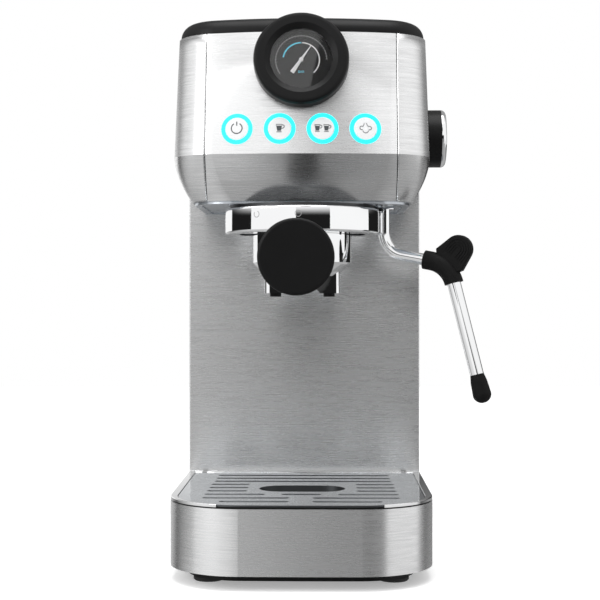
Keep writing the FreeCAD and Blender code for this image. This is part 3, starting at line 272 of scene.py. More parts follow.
def stretched(tree, vector, along, across):
    """The vector with X and Y multiplied by along and Z by across, both sockets or numbers."""
    combine = tree.nodes.new("ShaderNodeCombineXYZ")
    for axis, value in (("X", along), ("Y", along), ("Z", across)):
        if isinstance(value, (int, float)):
            combine.inputs[axis].default_value = value
        else:
            tree.links.new(value, combine.inputs[axis])
    product = tree.nodes.new("ShaderNodeVectorMath")
    product.operation = "MULTIPLY"
    tree.links.new(vector, product.inputs[0])
    tree.links.new(combine.outputs[0], product.inputs[1])
    return product.outputs[0]


def build_level_grain():
    """Level brush strokes. Long is the count of strokes per metre along them, Tall across them."""
    group, given, result = new_group(
        "level_grain",
        [("Vector", "NodeSocketVector", None), ("Long", "NodeSocketFloat", 60.0),
         ("Tall", "NodeSocketFloat", 1100.0)],
        [("Strokes", "NodeSocketFloat"), ("Fine", "NodeSocketFloat"), ("Cloud", "NodeSocketFloat")])
    vector, long_count, tall_count = given.outputs[0], given.outputs[1], given.outputs[2]
    coarse = noise(group, stretched(group, vector, long_count, tall_count), 1.0, 2.0, 0.6)
    fine_long = math_node(group, "MULTIPLY", long_count, 3.1)
    fine_tall = math_node(group, "MULTIPLY", tall_count, 2.7)
    fine = noise(group, stretched(group, vector, fine_long, fine_tall), 1.0, 1.0, 0.5)
    cloud = noise(group, stretched(group, vector, 9.0, 30.0), 1.0, 2.0, 0.5)
    group.links.new(ranged(group, coarse, 0.30, 0.70), result.inputs["Strokes"])
    group.links.new(ranged(group, fine, 0.30, 0.70), result.inputs["Fine"])
    group.links.new(ranged(group, cloud, 0.30, 0.70), result.inputs["Cloud"])
    return group


def build_speckle():
    """Fine even grain, as on moulded plastic, and a slow drift of tone."""
    group, given, result = new_group(
        "speckle",
        [("Vector", "NodeSocketVector", None), ("Grain", "NodeSocketFloat", 3000.0)],
        [("Grain", "NodeSocketFloat"), ("Drift", "NodeSocketFloat")])
    grain = noise(group, given.outputs["Vector"], given.outputs["Grain"], 2.0, 0.6)
    drift = noise(group, given.outputs["Vector"], 35.0, 3.0, 0.5)
    group.links.new(ranged(group, grain, 0.3, 0.7), result.inputs["Grain"])
    group.links.new(ranged(group, drift, 0.3, 0.7), result.inputs["Drift"])
    return group


LEVEL_GRAIN = build_level_grain()
SPECKLE = build_speckle()
print("node groups:", [g.name for g in bpy.data.node_groups])

# %% [markdown]
# ## Finishes
# Every finish starts from a Principled shader. What is the same all over a surface is set on the shader's
# own sockets, and what changes over it comes from a group. Brushed steel is a metal whose roughness is
# anisotropic: across the strokes it spreads light, and along them it hardly does.


# %% Helpers for finishes
finishes = {}


def new_finish(name, color, roughness, metallic=0.0, **sockets):
    """A material with a Principled shader. Returns (tree, shader, object coordinates)."""
    material = bpy.data.materials.new("looks_" + name)
    material.use_nodes = True
    tree = material.node_tree
    shader = tree.nodes["Principled BSDF"]
    shader.inputs["Base Color"].default_value = (*color, 1)
    shader.inputs["Roughness"].default_value = roughness
    shader.inputs["Metallic"].default_value = metallic
    for label, value in sockets.items():
        shader.inputs[label.replace("_", " ")].default_value = value
    finishes[name] = material
    return tree, shader, tree.nodes.new("ShaderNodeTexCoord").outputs["Object"]


def place_group(tree, group, vector, **values):
    """Put a node group into a material. Returns its outputs by name."""
    node = tree.nodes.new("ShaderNodeGroup")
    node.node_tree = group
    tree.links.new(vector, node.inputs["Vector"])
    for label, value in values.items():
        node.inputs[label].default_value = value
    return node.outputs


def bump(tree, shader, height, depth, strength=1.0):
    """Feed a height to the shader's normal through a Bump node."""
    node = tree.nodes.new("ShaderNodeBump")
    node.inputs["Distance"].default_value = depth
    node.inputs["Strength"].default_value = strength
    tree.links.new(height, node.inputs["Height"])
    tree.links.new(node.outputs[0], shader.inputs["Normal"])


# %% Brushed steel
def build_upright():
    """How far a flat face is from level: 0 for one that faces up or down, 1 for a wall."""
    group, _, result = new_group("upright", [("Vector", "NodeSocketVector", None)],
                                 [("Wall", "NodeSocketFloat")])
    split = group.nodes.new("ShaderNodeSeparateXYZ")
    group.links.new(group.nodes.new("ShaderNodeNewGeometry").outputs["True Normal"], split.inputs[0])
    level = math_node(group, "ABSOLUTE", split.outputs["Z"])
    group.links.new(ranged(group, level, 0.97, 0.80), result.inputs["Wall"])
    return group


UPRIGHT = build_upright()


def brushed_finish(name, light, dark, rough_low, rough_high, along, across, depth, turn=0.25):
    """Steel with level brush strokes between a light and a dark tone."""
    tree, shader, place = new_finish(name, light, rough_low, 1.0, Anisotropic=0.7, Anisotropic_Rotation=turn)
    grain = place_group(tree, LEVEL_GRAIN, place, Long=along, Tall=across)
    both = mixed(tree, 0.35, grain["Strokes"], grain["Fine"], "FLOAT")
    tone = mixed(tree, both, (*dark, 1), (*light, 1))
    tree.links.new(tone, shader.inputs["Base Color"])
    rough = ranged(tree, both, 0.0, 1.0, rough_high, rough_low)
    tree.links.new(rough, shader.inputs["Roughness"])
    bump(tree, shader, both, depth)


brushed_finish("brushed_steel", (0.93, 0.932, 0.935), (0.74, 0.742, 0.745), 0.22, 0.34, 38.0, 1150.0,
               0.000007)
brushed_finish("tray_steel", (0.70, 0.735, 0.77), (0.62, 0.65, 0.68), 0.07, 0.12, 30.0, 900.0, 0.000002)
brushed_finish("satin_metal", (0.62, 0.66, 0.70), (0.56, 0.59, 0.63), 0.24, 0.32, 25.0, 600.0, 0.000003)
# Dark steel for the collar's neck: its dark tone is painted shade, under the head between the collar and the
# chin.
brushed_finish("shaded_neck_steel", (0.10, 0.103, 0.107), (0.07, 0.072, 0.075), 0.42, 0.52, 40.0, 600.0, 0.000003)
brushed_finish("plain_steel", (0.72, 0.72, 0.73), (0.58, 0.58, 0.59), 0.18, 0.30, 80.0, 900.0, 0.000005)


def paint_upright_shade(kind, shade_tone):
    """Painted shade for slots and recesses: where a face is upright, the finish turns to this dark tone and
    grows rough.
    """
    tree = finishes[kind].node_tree
    shader = tree.nodes["Principled BSDF"]
    place = tree.nodes.new("ShaderNodeTexCoord").outputs["Object"]
    wall = place_group(tree, UPRIGHT, place)["Wall"]
    tone = shader.inputs["Base Color"].links[0].from_socket
    rough = shader.inputs["Roughness"].links[0].from_socket
    tree.links.new(mixed(tree, wall, tone, (*shade_tone, 1)), shader.inputs["Base Color"])
    tree.links.new(mixed(tree, wall, rough, 0.45, "FLOAT"), shader.inputs["Roughness"])


# Painted shade: the slot walls and other upright faces of the tray steel turn near black.
paint_upright_shade("tray_steel", (0.10, 0.105, 0.11))
print("steel finishes:", list(finishes))


# %% Polished metals
def polished_finish(name, color, rough_low, rough_high, drift=0.03):
    """A plated or cast metal whose roughness wanders a little, as polish does."""
    tree, shader, place = new_finish(name, color, rough_low, 1.0)
    speckle = place_group(tree, SPECKLE, place, Grain=2500.0)
    rough = ranged(tree, speckle["Drift"], 0.0, 1.0, rough_low, rough_high)
    tree.links.new(rough, shader.inputs["Roughness"])
    darker = tuple(c * (1 - drift) for c in color)
    tree.links.new(mixed(tree, speckle["Drift"], (*color, 1), (*darker, 1)), shader.inputs["Base Color"])
    bump(tree, shader, speckle["Grain"], 0.0000008)


polished_finish("chrome", (0.93, 0.935, 0.94), 0.015, 0.045)
polished_finish("brass", (0.78, 0.57, 0.27), 0.16, 0.30, 0.15)
polished_finish("cast_aluminium", (0.60, 0.61, 0.62), 0.42, 0.58, 0.12)
print("polished finishes added")


# %% Plastics, rubber and board
def moulded_finish(name, color, rough_low, rough_high, grain, depth, **sockets):
    """Moulded plastic or rubber: a fine even grain and a slow drift of sheen."""
    tree, shader, place = new_finish(name, color, rough_low, 0.0, **sockets)
    speckle = place_group(tree, SPECKLE, place, Grain=grain)
    rough = ranged(tree, speckle["Drift"], 0.0, 1.0, rough_low, rough_high)
    tree.links.new(rough, shader.inputs["Roughness"])
    paler = tuple(min(1.0, c * 1.18 + 0.001) for c in color)
    tree.links.new(mixed(tree, speckle["Grain"], (*color, 1), (*paler, 1)), shader.inputs["Base Color"])
    bump(tree, shader, speckle["Grain"], depth)


moulded_finish("black_plastic", (0.0022, 0.0022, 0.0024), 0.38, 0.48, 2600.0, 0.000005,
               Specular_IOR_Level=0.20)
moulded_finish("soft_black", (0.0024, 0.0024, 0.0024), 0.52, 0.64, 3200.0, 0.000006, Specular_IOR_Level=0.16)
moulded_finish("rubber", (0.010, 0.010, 0.010), 0.62, 0.75, 2200.0, 0.000012)
moulded_finish("silicone", (0.55, 0.54, 0.50), 0.42, 0.52, 1800.0, 0.000006)
moulded_finish("button_face", (0.64, 0.645, 0.65), 0.38, 0.46, 4000.0, 0.000002)
moulded_finish("housing_plastic", (0.42, 0.42, 0.41), 0.45, 0.55, 2400.0, 0.000008)
moulded_finish("circuit_green", (0.012, 0.10, 0.045), 0.30, 0.40, 1500.0, 0.000003)
moulded_finish("dial", (0.006, 0.006, 0.0062), 0.35, 0.42, 5000.0, 0.000001, Specular_IOR_Level=0.3)
moulded_finish("needle", (0.80, 0.80, 0.80), 0.30, 0.36, 4000.0, 0.000001)
moulded_finish("print_dark", (0.045, 0.05, 0.055), 0.45, 0.55, 5000.0, 0.000001)
moulded_finish("print_white", (0.78, 0.78, 0.78), 0.40, 0.46, 5000.0, 0.000001)
moulded_finish("print_grey", (0.28, 0.28, 0.28), 0.40, 0.46, 5000.0, 0.000001)
moulded_finish("print_cyan", (0.10, 0.62, 0.80), 0.40, 0.46, 5000.0, 0.000001)
print("moulded and printed finishes added")


# %% Light rings and clear plastics
def light_ring_finish():
    """A milky ring lit from behind, its glow wandering a little in tone."""
    tree, shader, place = new_finish("light_ring", (0.0, 0.80, 0.85), 0.35)
    speckle = place_group(tree, SPECKLE, place, Grain=1500.0)
    glow = mixed(tree, speckle["Drift"], (0.015, 0.93, 1.0, 1), (0.045, 1.0, 1.0, 1))
    tree.links.new(glow, shader.inputs["Emission Color"])
    shader.inputs["Emission Strength"].default_value = 0.95


def clear_finish(name, color, roughness, **sockets):
    """Clear plastic or glass with faint mould marks."""
    tree, shader, place = new_finish(name, color, roughness, 0.0, Transmission_Weight=1.0, **sockets)
    speckle = place_group(tree, SPECKLE, place, Grain=300.0)
    tree.links.new(ranged(tree, speckle["Drift"], 0.0, 1.0, roughness, roughness + 0.03),
                   shader.inputs["Roughness"])


light_ring_finish()
clear_finish("glass", (1.0, 1.0, 1.0), 0.0, IOR=1.45)
clear_finish("tank_plastic", (0.42, 0.44, 0.46), 0.05, IOR=1.2)
print(f"{len(finishes)} finishes in all")

# %% [markdown]
# ## The CAD pieces take their finishes
# Each CAD piece names the kind of surface it has. Its shape is already right, so it only swaps the plain
# material for the detailed one of the same name.

# %% Give the CAD pieces their finishes
for name, node in nodes.items():
    for material_slot in node.material_slots:
        kind = material_slot.material.name.split(".")[0]
        material_slot.material = finishes[kind]
print("finishes given to", len(nodes), "CAD pieces")

# %% [markdown]
# ## New pieces as surfaces
# A rounded shape is easiest to write as a grid: rows of points that share one parameter, and columns that
# share the other. numpy works out the whole grid at once, and each square of four neighbours is a face.
# The same few helpers then serve a turned part, a bent pipe and a printed line.

# %% Helpers for surfaces


def grid_faces(rows, columns, rows_close=False, columns_close=False):
    """Quads of a grid: corner (i, j) is joined to (i, j+1), (i+1, j+1) and (i+1, j)."""
    i = np.arange(rows if rows_close else rows - 1)[:, None]
    j = np.arange(columns if columns_close else columns - 1)[None, :]
    i2, j2 = (i + 1) % rows, (j + 1) % columns
    corners = [i * columns + j, i * columns + j2, i2 * columns + j2, i2 * columns + j]
    return np.stack([np.broadcast_to(c, (i.shape[0], j.shape[1])).ravel() for c in corners], axis=1)


SHARP_ANGLE = 30.0


def add_piece(name, points, faces, finish, body, replaced=(), more_finishes=(), which=None):
    """Make a mesh piece from points in metres and faces. which gives each face's finish by number."""
    mesh = bpy.data.meshes.new(name)
    mesh.from_pydata(np.asarray(points).reshape(-1, 3).tolist(), [], [tuple(f) for f in faces])
    for kind in (finish, *more_finishes):
        mesh.materials.append(finishes[kind])
    if which is not None:
        mesh.polygons.foreach_set("material_index", np.asarray(which, dtype=np.int32))
    mesh.polygons.foreach_set("use_smooth", np.ones(len(mesh.polygons), dtype=bool))
    mesh.update()
    mesh.set_sharp_from_angle(angle=math.radians(SHARP_ANGLE))
    piece = bpy.data.objects.new(name, mesh)
    scene.collection.objects.link(piece)
    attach(piece, body)
    if replaced:
        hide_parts(*replaced)
    print(f"{name}: {len(mesh.vertices)} points, {len(mesh.polygons)} faces")
    return piece


def arc(center, radius, start, end, count):
    """Points on a circle: centre + radius times (cos, sin) of angles from start to end in degrees."""
    angle = np.radians(np.linspace(start, end, count))
    return np.asarray(center) + radius * np.stack([np.cos(angle), np.sin(angle)], axis=-1)


# %% [markdown]
# ## The head's shape
# The head's outside is a stack of outlines. Each is bowed at the front and round at its corners, and its
# width, front and bow change with height: the chin slants back below the crease, and the panel leans back
# above it. The same outline formula gives the steel sides here and the frames that the buttons and the
# gauge stand in.

# %% The head's outline
HEAD_BOTTOM, CREASE_Z, HEAD_TOP = 216.3, 242.0, 313.6
BODY_HALF_WIDTH, CHIN_HALF_WIDTH, TOP_HALF_WIDTH = 75.0, 65.0, 73.5
CHIN_FRONT, CREASE_FRONT, TOP_FRONT = -119.0, -134.5, -121.0
GAUGE_Z, BUTTON_Z, BUTTON_PITCH = 295.6, 256.4, 24.4
GROUP_Y = -90.0


def mix(a, b, t):
    """Straight line from a to b as t goes from 0 to 1."""
    return a + (b - a) * t


def head_section(z):
    """Half width, front, bow radius and corner radius at height z. Below the crease the sides draw in as
    the 1.8th power of the way down; above it everything changes evenly."""
    low = np.clip((z - HEAD_BOTTOM) / (CREASE_Z - HEAD_BOTTOM), 0, 1)
    high = np.clip((z - CREASE_Z) / (HEAD_TOP - CREASE_Z), 0, 1)
    chin = z <= CREASE_Z
    half_width = np.where(chin, BODY_HALF_WIDTH - (BODY_HALF_WIDTH - CHIN_HALF_WIDTH) * (1 - low) ** 1.8,
                          mix(BODY_HALF_WIDTH, TOP_HALF_WIDTH, high))
    front = np.where(chin, mix(CHIN_FRONT, CREASE_FRONT, low), mix(CREASE_FRONT, TOP_FRONT, high))
    curvature = np.where(chin, mix(1 / 1500, 1 / 380, low), mix(1 / 380, 1 / 220, high))
    corner = np.where(chin, mix(25.0, 28.0, low), 28.0)
    return half_width, front, 1 / curvature, corner


def panel_point(x, z):
    """The front panel's outside at (x, z): y = front + bow - sqrt(bow^2 - x^2)."""
    _, front, bow, _ = head_section(z)
    return np.array([x, front + bow - math.sqrt(bow ** 2 - x ** 2), z])


def panel_frame(x, z):
    """Origin, right, up and outward directions on the front panel at (x, z), from small steps along it."""
    step = 0.01
    up = panel_point(x, z + step) - panel_point(x, z - step)
    up /= np.linalg.norm(up)
    across = panel_point(x + step, z) - panel_point(x - step, z)
    across /= np.linalg.norm(across)
    outward = np.cross(across, up)
    outward /= np.linalg.norm(outward)
    return panel_point(x, z), np.cross(up, outward), up, outward


def on_panel(local, x, z):
    """Move points given as (right, up, outward) in millimetres onto the panel, in metres."""
    origin, right, up, outward = panel_frame(x, z)
    return (origin + np.asarray(local) @ np.array([right, up, outward])) * MM


print("crease section:", [round(float(v), 1) for v in head_section(CREASE_Z)])

# %% [markdown]
# ## The steel sides of the head
# Each side is one sheet that wraps round the front corner to a shut line beside the panel. Rolled steel has
# no flats in it, so the chin needs many levels. The sheet is a grid of height by way along the outline, and
# Solidify gives it its thickness inwards. The crease stays crisp because its angle is marked sharp.

# %% Head sides
SEAM_X, SEAM_GAP, SHEET = 55.0, 0.3, 1.2
COLUMN_FRONT, STEEL_BACK = -15.0, 85.0
NOTCH_Z = CREASE_Z + 2 * SEAM_GAP
ROUND_STEPS, STRAIGHT_STEPS, REAR_STEPS = 36, 9, 8
CHIN_LEVELS, UPPER_LEVELS = 22, 12
BOW_SHARE = 0.2                     # how much of the way round is spent on the bow, before the corner
CREASE_ANGLE = 14.0                 # degrees above which an edge of the sheet is left crisp


def side_outline(z, t):
    """The outline at heights z (rows) for t from 0, at the shut line, to 1, where the straight side
    starts: first along the bow, then round the corner circle that touches the bow and the side."""
    half_width, front, bow, corner = (v[:, None] for v in head_section(z))
    bow_y = front + bow
    corner_x = half_width - corner
    corner_y = bow_y - np.sqrt((bow - corner) ** 2 - corner_x ** 2)
    meet = np.arctan2(corner_x, bow_y - corner_y)              # angle of the bow where the corner begins
    start = np.arcsin((SEAM_X + SEAM_GAP) / bow)
    on_bow = start < meet
    bow_share = np.where(on_bow, BOW_SHARE, 0.0)
    t = t[None, :]
    bow_angle = start + (meet - start) * np.clip(t / np.maximum(bow_share, 1e-9), 0, 1)
    first = np.where(on_bow, meet, np.arcsin(np.clip((SEAM_X + SEAM_GAP - corner_x) / corner, -1, 1)))
    turn = first + (np.pi / 2 - first) * np.clip((t - bow_share) / (1 - bow_share), 0, 1)
    along_bow = (t < bow_share) & on_bow
    x = np.where(along_bow, bow * np.sin(bow_angle), corner_x + corner * np.sin(turn))
    y = np.where(along_bow, bow_y - bow * np.cos(bow_angle), corner_y - corner * np.cos(turn))
    return x, y


def side_sheet(levels, back):
    """Grid of points for the given heights, from the shut line round the corner and straight to back."""
    x, y = side_outline(levels, np.linspace(0, 1, ROUND_STEPS))
    straight = np.linspace(0, 1, STRAIGHT_STEPS)[None, 1:]
    x = np.hstack([x, np.repeat(x[:, -1:], straight.size, axis=1)])
    y = np.hstack([y, y[:, -1:] + (back - y[:, -1:]) * straight])
    z = np.repeat(levels[:, None], x.shape[1], axis=1)
    return np.stack([x, y, z], axis=-1)


def build_head_side(sign, name, node):
    """The chin and the panel in front of the column, and the part beside the column, as one sheet."""
    chin = side_sheet(np.linspace(HEAD_BOTTOM, CREASE_Z, CHIN_LEVELS), COLUMN_FRONT - SEAM_GAP)
    notch = side_sheet(np.linspace(CREASE_Z, NOTCH_Z, 2), COLUMN_FRONT - SEAM_GAP)
    upper = side_sheet(np.linspace(NOTCH_Z, HEAD_TOP, UPPER_LEVELS), COLUMN_FRONT - SEAM_GAP)
    edge_x = upper[:, -1, 0]
    rear_y = np.linspace(COLUMN_FRONT - SEAM_GAP, STEEL_BACK, REAR_STEPS)
    rear = np.stack([np.repeat(edge_x[:, None], REAR_STEPS, axis=1),
                     np.repeat(rear_y[None, :], UPPER_LEVELS, axis=0),
                     np.repeat(upper[:, -1:, 2], REAR_STEPS, axis=1)], axis=-1)
    points, faces, count = [], [], 0
    for grid in (chin, notch, upper, rear):
        rows, columns, _ = grid.shape
        points.append(grid.reshape(-1, 3) * (sign, 1, 1) * MM)
        quads = grid_faces(rows, columns)
        faces.append((quads if sign > 0 else quads[:, ::-1]) + count)
        count += rows * columns
    piece = add_piece(name, np.vstack(points), np.vstack(faces), "brushed_steel", "machine",
                      (node,))
    work = bmesh.new()
    work.from_mesh(piece.data)
    bmesh.ops.remove_doubles(work, verts=work.verts, dist=1e-6)
    work.to_mesh(piece.data)
    work.free()
    piece.data.set_sharp_from_angle(angle=math.radians(CREASE_ANGLE))
    shell = piece.modifiers.new("sheet", "SOLIDIFY")
    shell.thickness = SHEET * MM
    shell.offset = -1
    shell.use_even_offset = True
    return piece


build_head_side(-1, "left_side_sheet", "head_side_left")
build_head_side(1, "right_side_sheet", "head_side_right")

# %% [markdown]
# ## Printed lines
# Icons and dial marks are printed ink, thin but real. Each is a narrow ribbon: a small rectangle carried
# along a flat path. The path is drawn in millimetres in the plane of its button or dial, and then laid onto
# the machine. The marks on a button ride with that button.


# %% Ribbons
def ribbon(path, width, low, high, closed=False):
    """Carry a rectangle of this width, from height low to high, along a flat path of (x, y) points.
    At each point the rectangle stands across the mean direction of the two neighbouring steps."""
    path = np.asarray(path, float)
    if closed:
        ahead, behind = np.roll(path, -1, axis=0), np.roll(path, 1, axis=0)
    else:
        ahead, behind = np.vstack([path[1:], path[-1:]]), np.vstack([path[:1], path[:-1]])
    along = ahead - behind
    along /= np.linalg.norm(along, axis=1, keepdims=True)
    across = np.stack([-along[:, 1], along[:, 0]], axis=1) * (np.asarray(width, float) / 2).reshape(-1, 1)
    corners = [(path + across, low), (path + across, high), (path - across, high), (path - across, low)]
    points = np.stack([np.column_stack([p, np.full(len(p), level)]) for p, level in corners], axis=1)
    faces = grid_faces(len(path), 4, rows_close=closed, columns_close=True).tolist()
    if not closed:
        last = 4 * (len(path) - 1)
        faces += [(3, 2, 1, 0), (last, last + 1, last + 2, last + 3)]
    return points.reshape(-1, 3), faces


def plate(outline, low, high):
    """A flat shape with this outline, from height low to high."""
    outline = np.asarray(outline, float)
    n = len(outline)
    points = np.vstack([np.column_stack([outline, np.full(n, level)]) for level in (low, high)])
    sides = [(i, (i + 1) % n, n + (i + 1) % n, n + i) for i in range(n)]
    return points, sides + [tuple(range(n))[::-1], tuple(range(n, 2 * n))]


def together(parts):
    """Join (points, faces) pairs into one pair."""
    points, faces, count = [], [], 0
    for part_points, part_faces in parts:
        points.append(np.asarray(part_points))
        faces += [tuple(int(i) + count for i in face) for face in part_faces]
        count += len(part_points)
    return np.vstack(points), faces


INK_LOW, INK_HIGH = 0.55, 0.86


def power_icon():
    """A ring open at its top, with a bar through the gap."""
    ring = ribbon(arc((0, 0.2), 3.1, 122, 418, 40), 0.55, INK_LOW, INK_HIGH)
    bar = ribbon([(0, 1.7), (0, 4.1)], 0.55, INK_LOW, INK_HIGH)
    return [ring, bar]


def cup_icon(x, size):
    """A tapered cup with a handle, a rim and a saucer line."""
    def at(points):
        """Scale the points and move them to the cup's place."""
        return np.asarray(points) * size + (x, 0.1)
    body = plate(at([(-1.35, -1.7), (0.85, -1.7), (1.35, 1.35), (-1.85, 1.35)]), INK_LOW, INK_HIGH)
    rim = ribbon(at([(-1.88, 1.4), (-2.0, 2.15), (1.5, 2.15), (1.38, 1.4)]), 0.36 * size, INK_LOW, INK_HIGH)
    loop = ribbon(at([(1.45, 1.75), (2.1, 1.75), (2.65, 1.35), (2.65, 0.6), (2.2, 0.0), (1.15, -0.35)]),
                  0.42 * size, INK_LOW, INK_HIGH)
    saucer = ribbon(at([(-1.75, -2.3), (1.25, -2.3)]), 0.42 * size, INK_LOW, INK_HIGH)
    return [body, rim, loop, saucer]


def steam_icon():
    """A cloud of three lobes, with two wisps above."""
    left = ribbon(arc((-2.25, 0.15), 1.05, 50, 300, 20), 0.36, INK_LOW, INK_HIGH)
    low = ribbon(arc((0.0, -1.15), 1.6, 188, 352, 20), 0.36, INK_LOW, INK_HIGH)
    right = ribbon(arc((2.25, 0.15), 1.05, -120, 130, 20), 0.36, INK_LOW, INK_HIGH)
    wisps = [ribbon([(-0.85, 3.1), (-1.0, 2.2), (-1.5, 1.05)], 0.34, INK_LOW, INK_HIGH),
             ribbon([(0.45, 3.1), (0.7, 2.3), (1.45, 1.05)], 0.34, INK_LOW, INK_HIGH)]
    return [left, low, right] + wisps


ICONS = [("power", power_icon()), ("one_cup", cup_icon(0.0, 1.0)),
         ("two_cups", cup_icon(-2.75, 0.88) + cup_icon(2.35, 0.88)), ("steam", steam_icon())]
for i, (name, parts) in enumerate(ICONS):
    points, faces = together(parts)
    x = BUTTON_PITCH * (i - 1.5)
    add_piece(name + "_mark", on_panel(points, x, BUTTON_Z), faces, "print_dark", name + "_key")

# %% [markdown]
# ## The dial's printing
# Two scales share the dial: a fine outer one in grey with ticks, and a bold inner one, cyan up to the top
# and white beyond it. The unit below the needle is a text curve, which is made a mesh first so that its
# points can be laid onto the dial like the rest.

# %% Dial printing
DIAL_FACE = 2.3
PRINT_TOP = DIAL_FACE + 0.05


def dial_arc(radius, start, end, width, count):
    """A printed arc round the dial's centre, from start to end in degrees."""
    return ribbon(arc((0, 0), radius, start, end, count), width, DIAL_FACE - 0.02, PRINT_TOP)


outer = [dial_arc(14.6, 213, 2, 0.30, 80)]
for angle in np.radians(np.linspace(213, 2, 32)):
    toward = np.array([math.cos(angle), math.sin(angle)])
    outer.append(ribbon([toward * 13.9, toward * 15.2], 0.24, DIAL_FACE - 0.02, PRINT_TOP))
points, faces = together(outer)
add_piece("outer_scale", on_panel(points, 0, GAUGE_Z), faces, "print_grey", "machine")
points, faces = dial_arc(10.4, 171, 90.5, 0.85, 40)
add_piece("working_scale", on_panel(points, 0, GAUGE_Z), faces, "print_cyan", "machine")
points, faces = dial_arc(10.4, 87.5, -47, 0.70, 60)
add_piece("high_scale", on_panel(points, 0, GAUGE_Z), faces, "print_white", "machine")


def unit_mark():
    """The unit "bar" as flat letters with a little thickness, centred below the hub."""
    text = bpy.data.curves.new("unit_text", "FONT")
    text.body = "BAR"
    text.size = 2.0
    text.align_x, text.align_y = "CENTER", "CENTER"
    text.extrude = 0.03
    text.resolution_u = 3
    holder = bpy.data.objects.new("unit_text", text)
    mesh = bpy.data.meshes.new_from_object(holder)
    bpy.data.objects.remove(holder)
    co = np.zeros(len(mesh.vertices) * 3)
    mesh.vertices.foreach_get("co", co)
    return co.reshape(-1, 3) + (0, -7.1, DIAL_FACE + 0.03), [tuple(p.vertices) for p in mesh.polygons]


points, faces = unit_mark()
add_piece("unit_mark", on_panel(points, 0, GAUGE_Z), faces, "print_cyan", "machine")

# %% [markdown]
# ## The chrome collar
# The collar is turned on a lathe, so its section is a profile spun about the group's axis. Both outer edges
# are rounded, because chrome shows a sharp edge as a hard black line. Inside are the groove and the two
# notches that let the filter holder's lugs in: there the lip is cut back to the groove.

# %% Group collar
COLLAR_RADIUS, COLLAR_BOTTOM, COLLAR_TOP = 46.0, 198.0, 213.0
NECK_RADIUS, NECK_TOP, BORE_RADIUS = 43.0, 214.75, 31.4
LIP_RADIUS, GROOVE_RADIUS, GROOVE_LOW, GROOVE_HIGH = 31.2, 37.6, 199.4, 203.6
NOTCH_HALF_ANGLE = 20.0
EDGE_ROUND = 1.5
SHADED_ROWS = 4                       # rows of the top rounding, below the neck, that take the neck's painted shade
STEPS = 288


def build_collar():
    """Profile (r, z) spun about the axis: x = r sin(a), y = group - r cos(a). The lip's radius grows to
    the groove's within the two notches, which face the machine's left and right."""
    r, low, high, e = COLLAR_RADIUS, COLLAR_BOTTOM, COLLAR_TOP, EDGE_ROUND
    profile = np.vstack([
        [(LIP_RADIUS, low), (r - 5, low)], arc((r - e, low + e), e, -90, 0, 8),
        arc((r - e, high - e), e, 0, 90, 8), [(NECK_RADIUS, high), (NECK_RADIUS, NECK_TOP)],
        [(BORE_RADIUS, NECK_TOP), (BORE_RADIUS, GROOVE_HIGH), (GROOVE_RADIUS, GROOVE_HIGH),
         (GROOVE_RADIUS, GROOVE_LOW), (LIP_RADIUS, GROOVE_LOW)]])
    angle = np.linspace(0, 2 * np.pi, STEPS, endpoint=False)
    radius = np.repeat(profile[:, :1], STEPS, axis=1)
    in_notch = np.abs(np.abs(np.degrees((angle + np.pi) % (2 * np.pi) - np.pi)) - 90) < NOTCH_HALF_ANGLE
    lip = np.isclose(profile[:, 0], LIP_RADIUS)
    radius[np.ix_(lip, in_notch)] = GROOVE_RADIUS - 0.02
    points = np.stack([radius * np.sin(angle), GROUP_Y - radius * np.cos(angle),
                       np.repeat(profile[:, 1:], STEPS, axis=1)], axis=-1)
    rows = len(profile)
    faces = grid_faces(rows, STEPS, rows_close=True, columns_close=True)
    neck_row = int(np.argmax(np.isclose(profile[:, 0], NECK_RADIUS)))
    row_of_face = np.repeat(np.arange(rows), STEPS)
    # Painted shade: the neck and the top rows of the rounding below it take the dark neck steel.
    which = (row_of_face >= neck_row - SHADED_ROWS).astype(int)
    return add_piece("turned_collar", points * MM, faces, "chrome", "machine", ("group_collar",),
                     more_finishes=("shaded_neck_steel",), which=which)


build_collar()


def on_collar(local):
    """Bend flat marks (across, up, proud) in millimetres round the collar: the way across is arc length."""
    local = np.asarray(local)
    angle = local[:, 0] / COLLAR_RADIUS
    r = COLLAR_RADIUS + local[:, 2]
    return np.column_stack([r * np.sin(angle), GROUP_Y - r * np.cos(angle), local[:, 1]]) * MM


MARK_Z, MARK_RADIUS = 208.0, 1.75
LOCK_X, OPEN_X = -1.6, -27.0
marks = [ribbon(arc((LOCK_X, MARK_Z), MARK_RADIUS, 0, 352, 44), 0.32, -0.03, 0.04, closed=True),
         ribbon(arc((OPEN_X, MARK_Z), MARK_RADIUS, 140, 430, 36), 0.42, -0.03, 0.04)]
points, faces = together(marks)
add_piece("lock_marks", on_collar(points), faces, "print_grey", "machine")

# %% [markdown]
# ## The steam pipe
# A bent pipe is a circle carried along its centre line: straight down from the swivel, round one bend and
# out along the arm. Its line lies in one upright plane, so the direction across that plane serves as one
# axis of the circle all the way, and the circle never twists.

# %% Steam pipe
WAND_X, WAND_Y, WAND_TURN = 49.3, -80.0, -20.0
ARM_FALL, ELBOW_REACH, ELBOW_Z = 11.0, 40.5, 180.2
PIPE_RADIUS, PIPE_BEND, PIPE_TOP, PIPE_IN_GRIP = 3.5, 14.5, 225.0, 10.0
PIPE_SIDES, BEND_STEPS = 48, 40


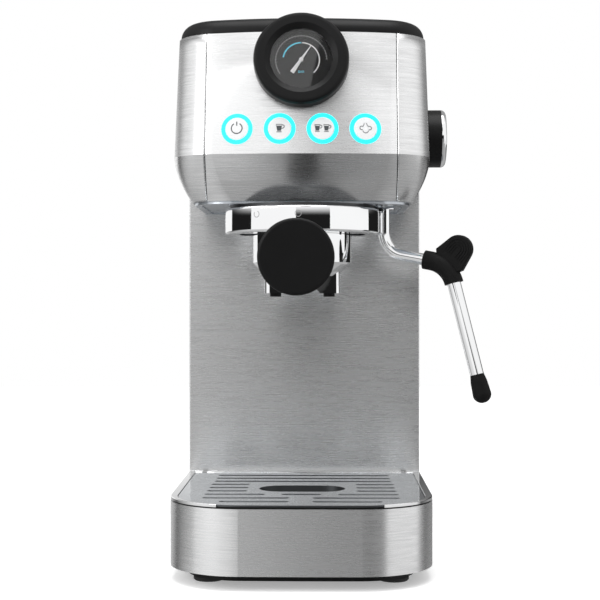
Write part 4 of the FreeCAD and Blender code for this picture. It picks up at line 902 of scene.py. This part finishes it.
def wand_points(reach, z):
    """Points in the wand's plane, which is turned about the swivel's upright axis."""
    a = math.radians(WAND_TURN)
    reach, z = np.asarray(reach, float), np.asarray(z, float)
    return np.stack([WAND_X + reach * math.cos(a), WAND_Y + reach * math.sin(a), z], axis=-1)


def build_pipe():
    """Sweep a circle down the swivel, round the bend and along the falling arm, and close both ends."""
    fall = math.radians(ARM_FALL)
    corner_z = ELBOW_Z + ELBOW_REACH * math.tan(fall)
    setback = PIPE_BEND * math.tan((math.pi / 2 - fall) / 2)
    bend_z = corner_z + setback
    sweep = np.radians(np.linspace(180, 270 - ARM_FALL, BEND_STEPS))
    bend_reach = PIPE_BEND + PIPE_BEND * np.cos(sweep)
    bend = np.column_stack([bend_reach, bend_z + PIPE_BEND * np.sin(sweep)])
    end = (ELBOW_REACH - PIPE_IN_GRIP * math.cos(fall), ELBOW_Z + PIPE_IN_GRIP * math.sin(fall))
    line = np.vstack([[(0, PIPE_TOP), (0, bend_z + 8)], bend, [end]])
    ahead, behind = np.vstack([line[1:], line[-1:]]), np.vstack([line[:1], line[:-1]])
    along = ahead - behind
    along /= np.linalg.norm(along, axis=1, keepdims=True)
    normal = np.column_stack([-along[:, 1], along[:, 0]])
    around = np.radians(np.linspace(0, 360, PIPE_SIDES, endpoint=False))
    in_plane = line[:, None, :] + PIPE_RADIUS * np.cos(around)[None, :, None] * normal[:, None, :]
    a = math.radians(WAND_TURN)
    side = np.array([math.sin(a), -math.cos(a), 0.0])
    points = wand_points(in_plane[..., 0], in_plane[..., 1])
    points = points + PIPE_RADIUS * np.sin(around)[None, :, None] * side
    faces = grid_faces(len(line), PIPE_SIDES, columns_close=True).tolist()
    last = PIPE_SIDES * (len(line) - 1)
    faces += [tuple(range(PIPE_SIDES))[::-1], tuple(range(last, last + PIPE_SIDES))]
    return add_piece("bent_steam_pipe", points * MM, faces, "chrome", "wand", ("wand_pipe",))


build_pipe()

# %% [markdown]
# ## The end

# %% Finish
print("scene finished")
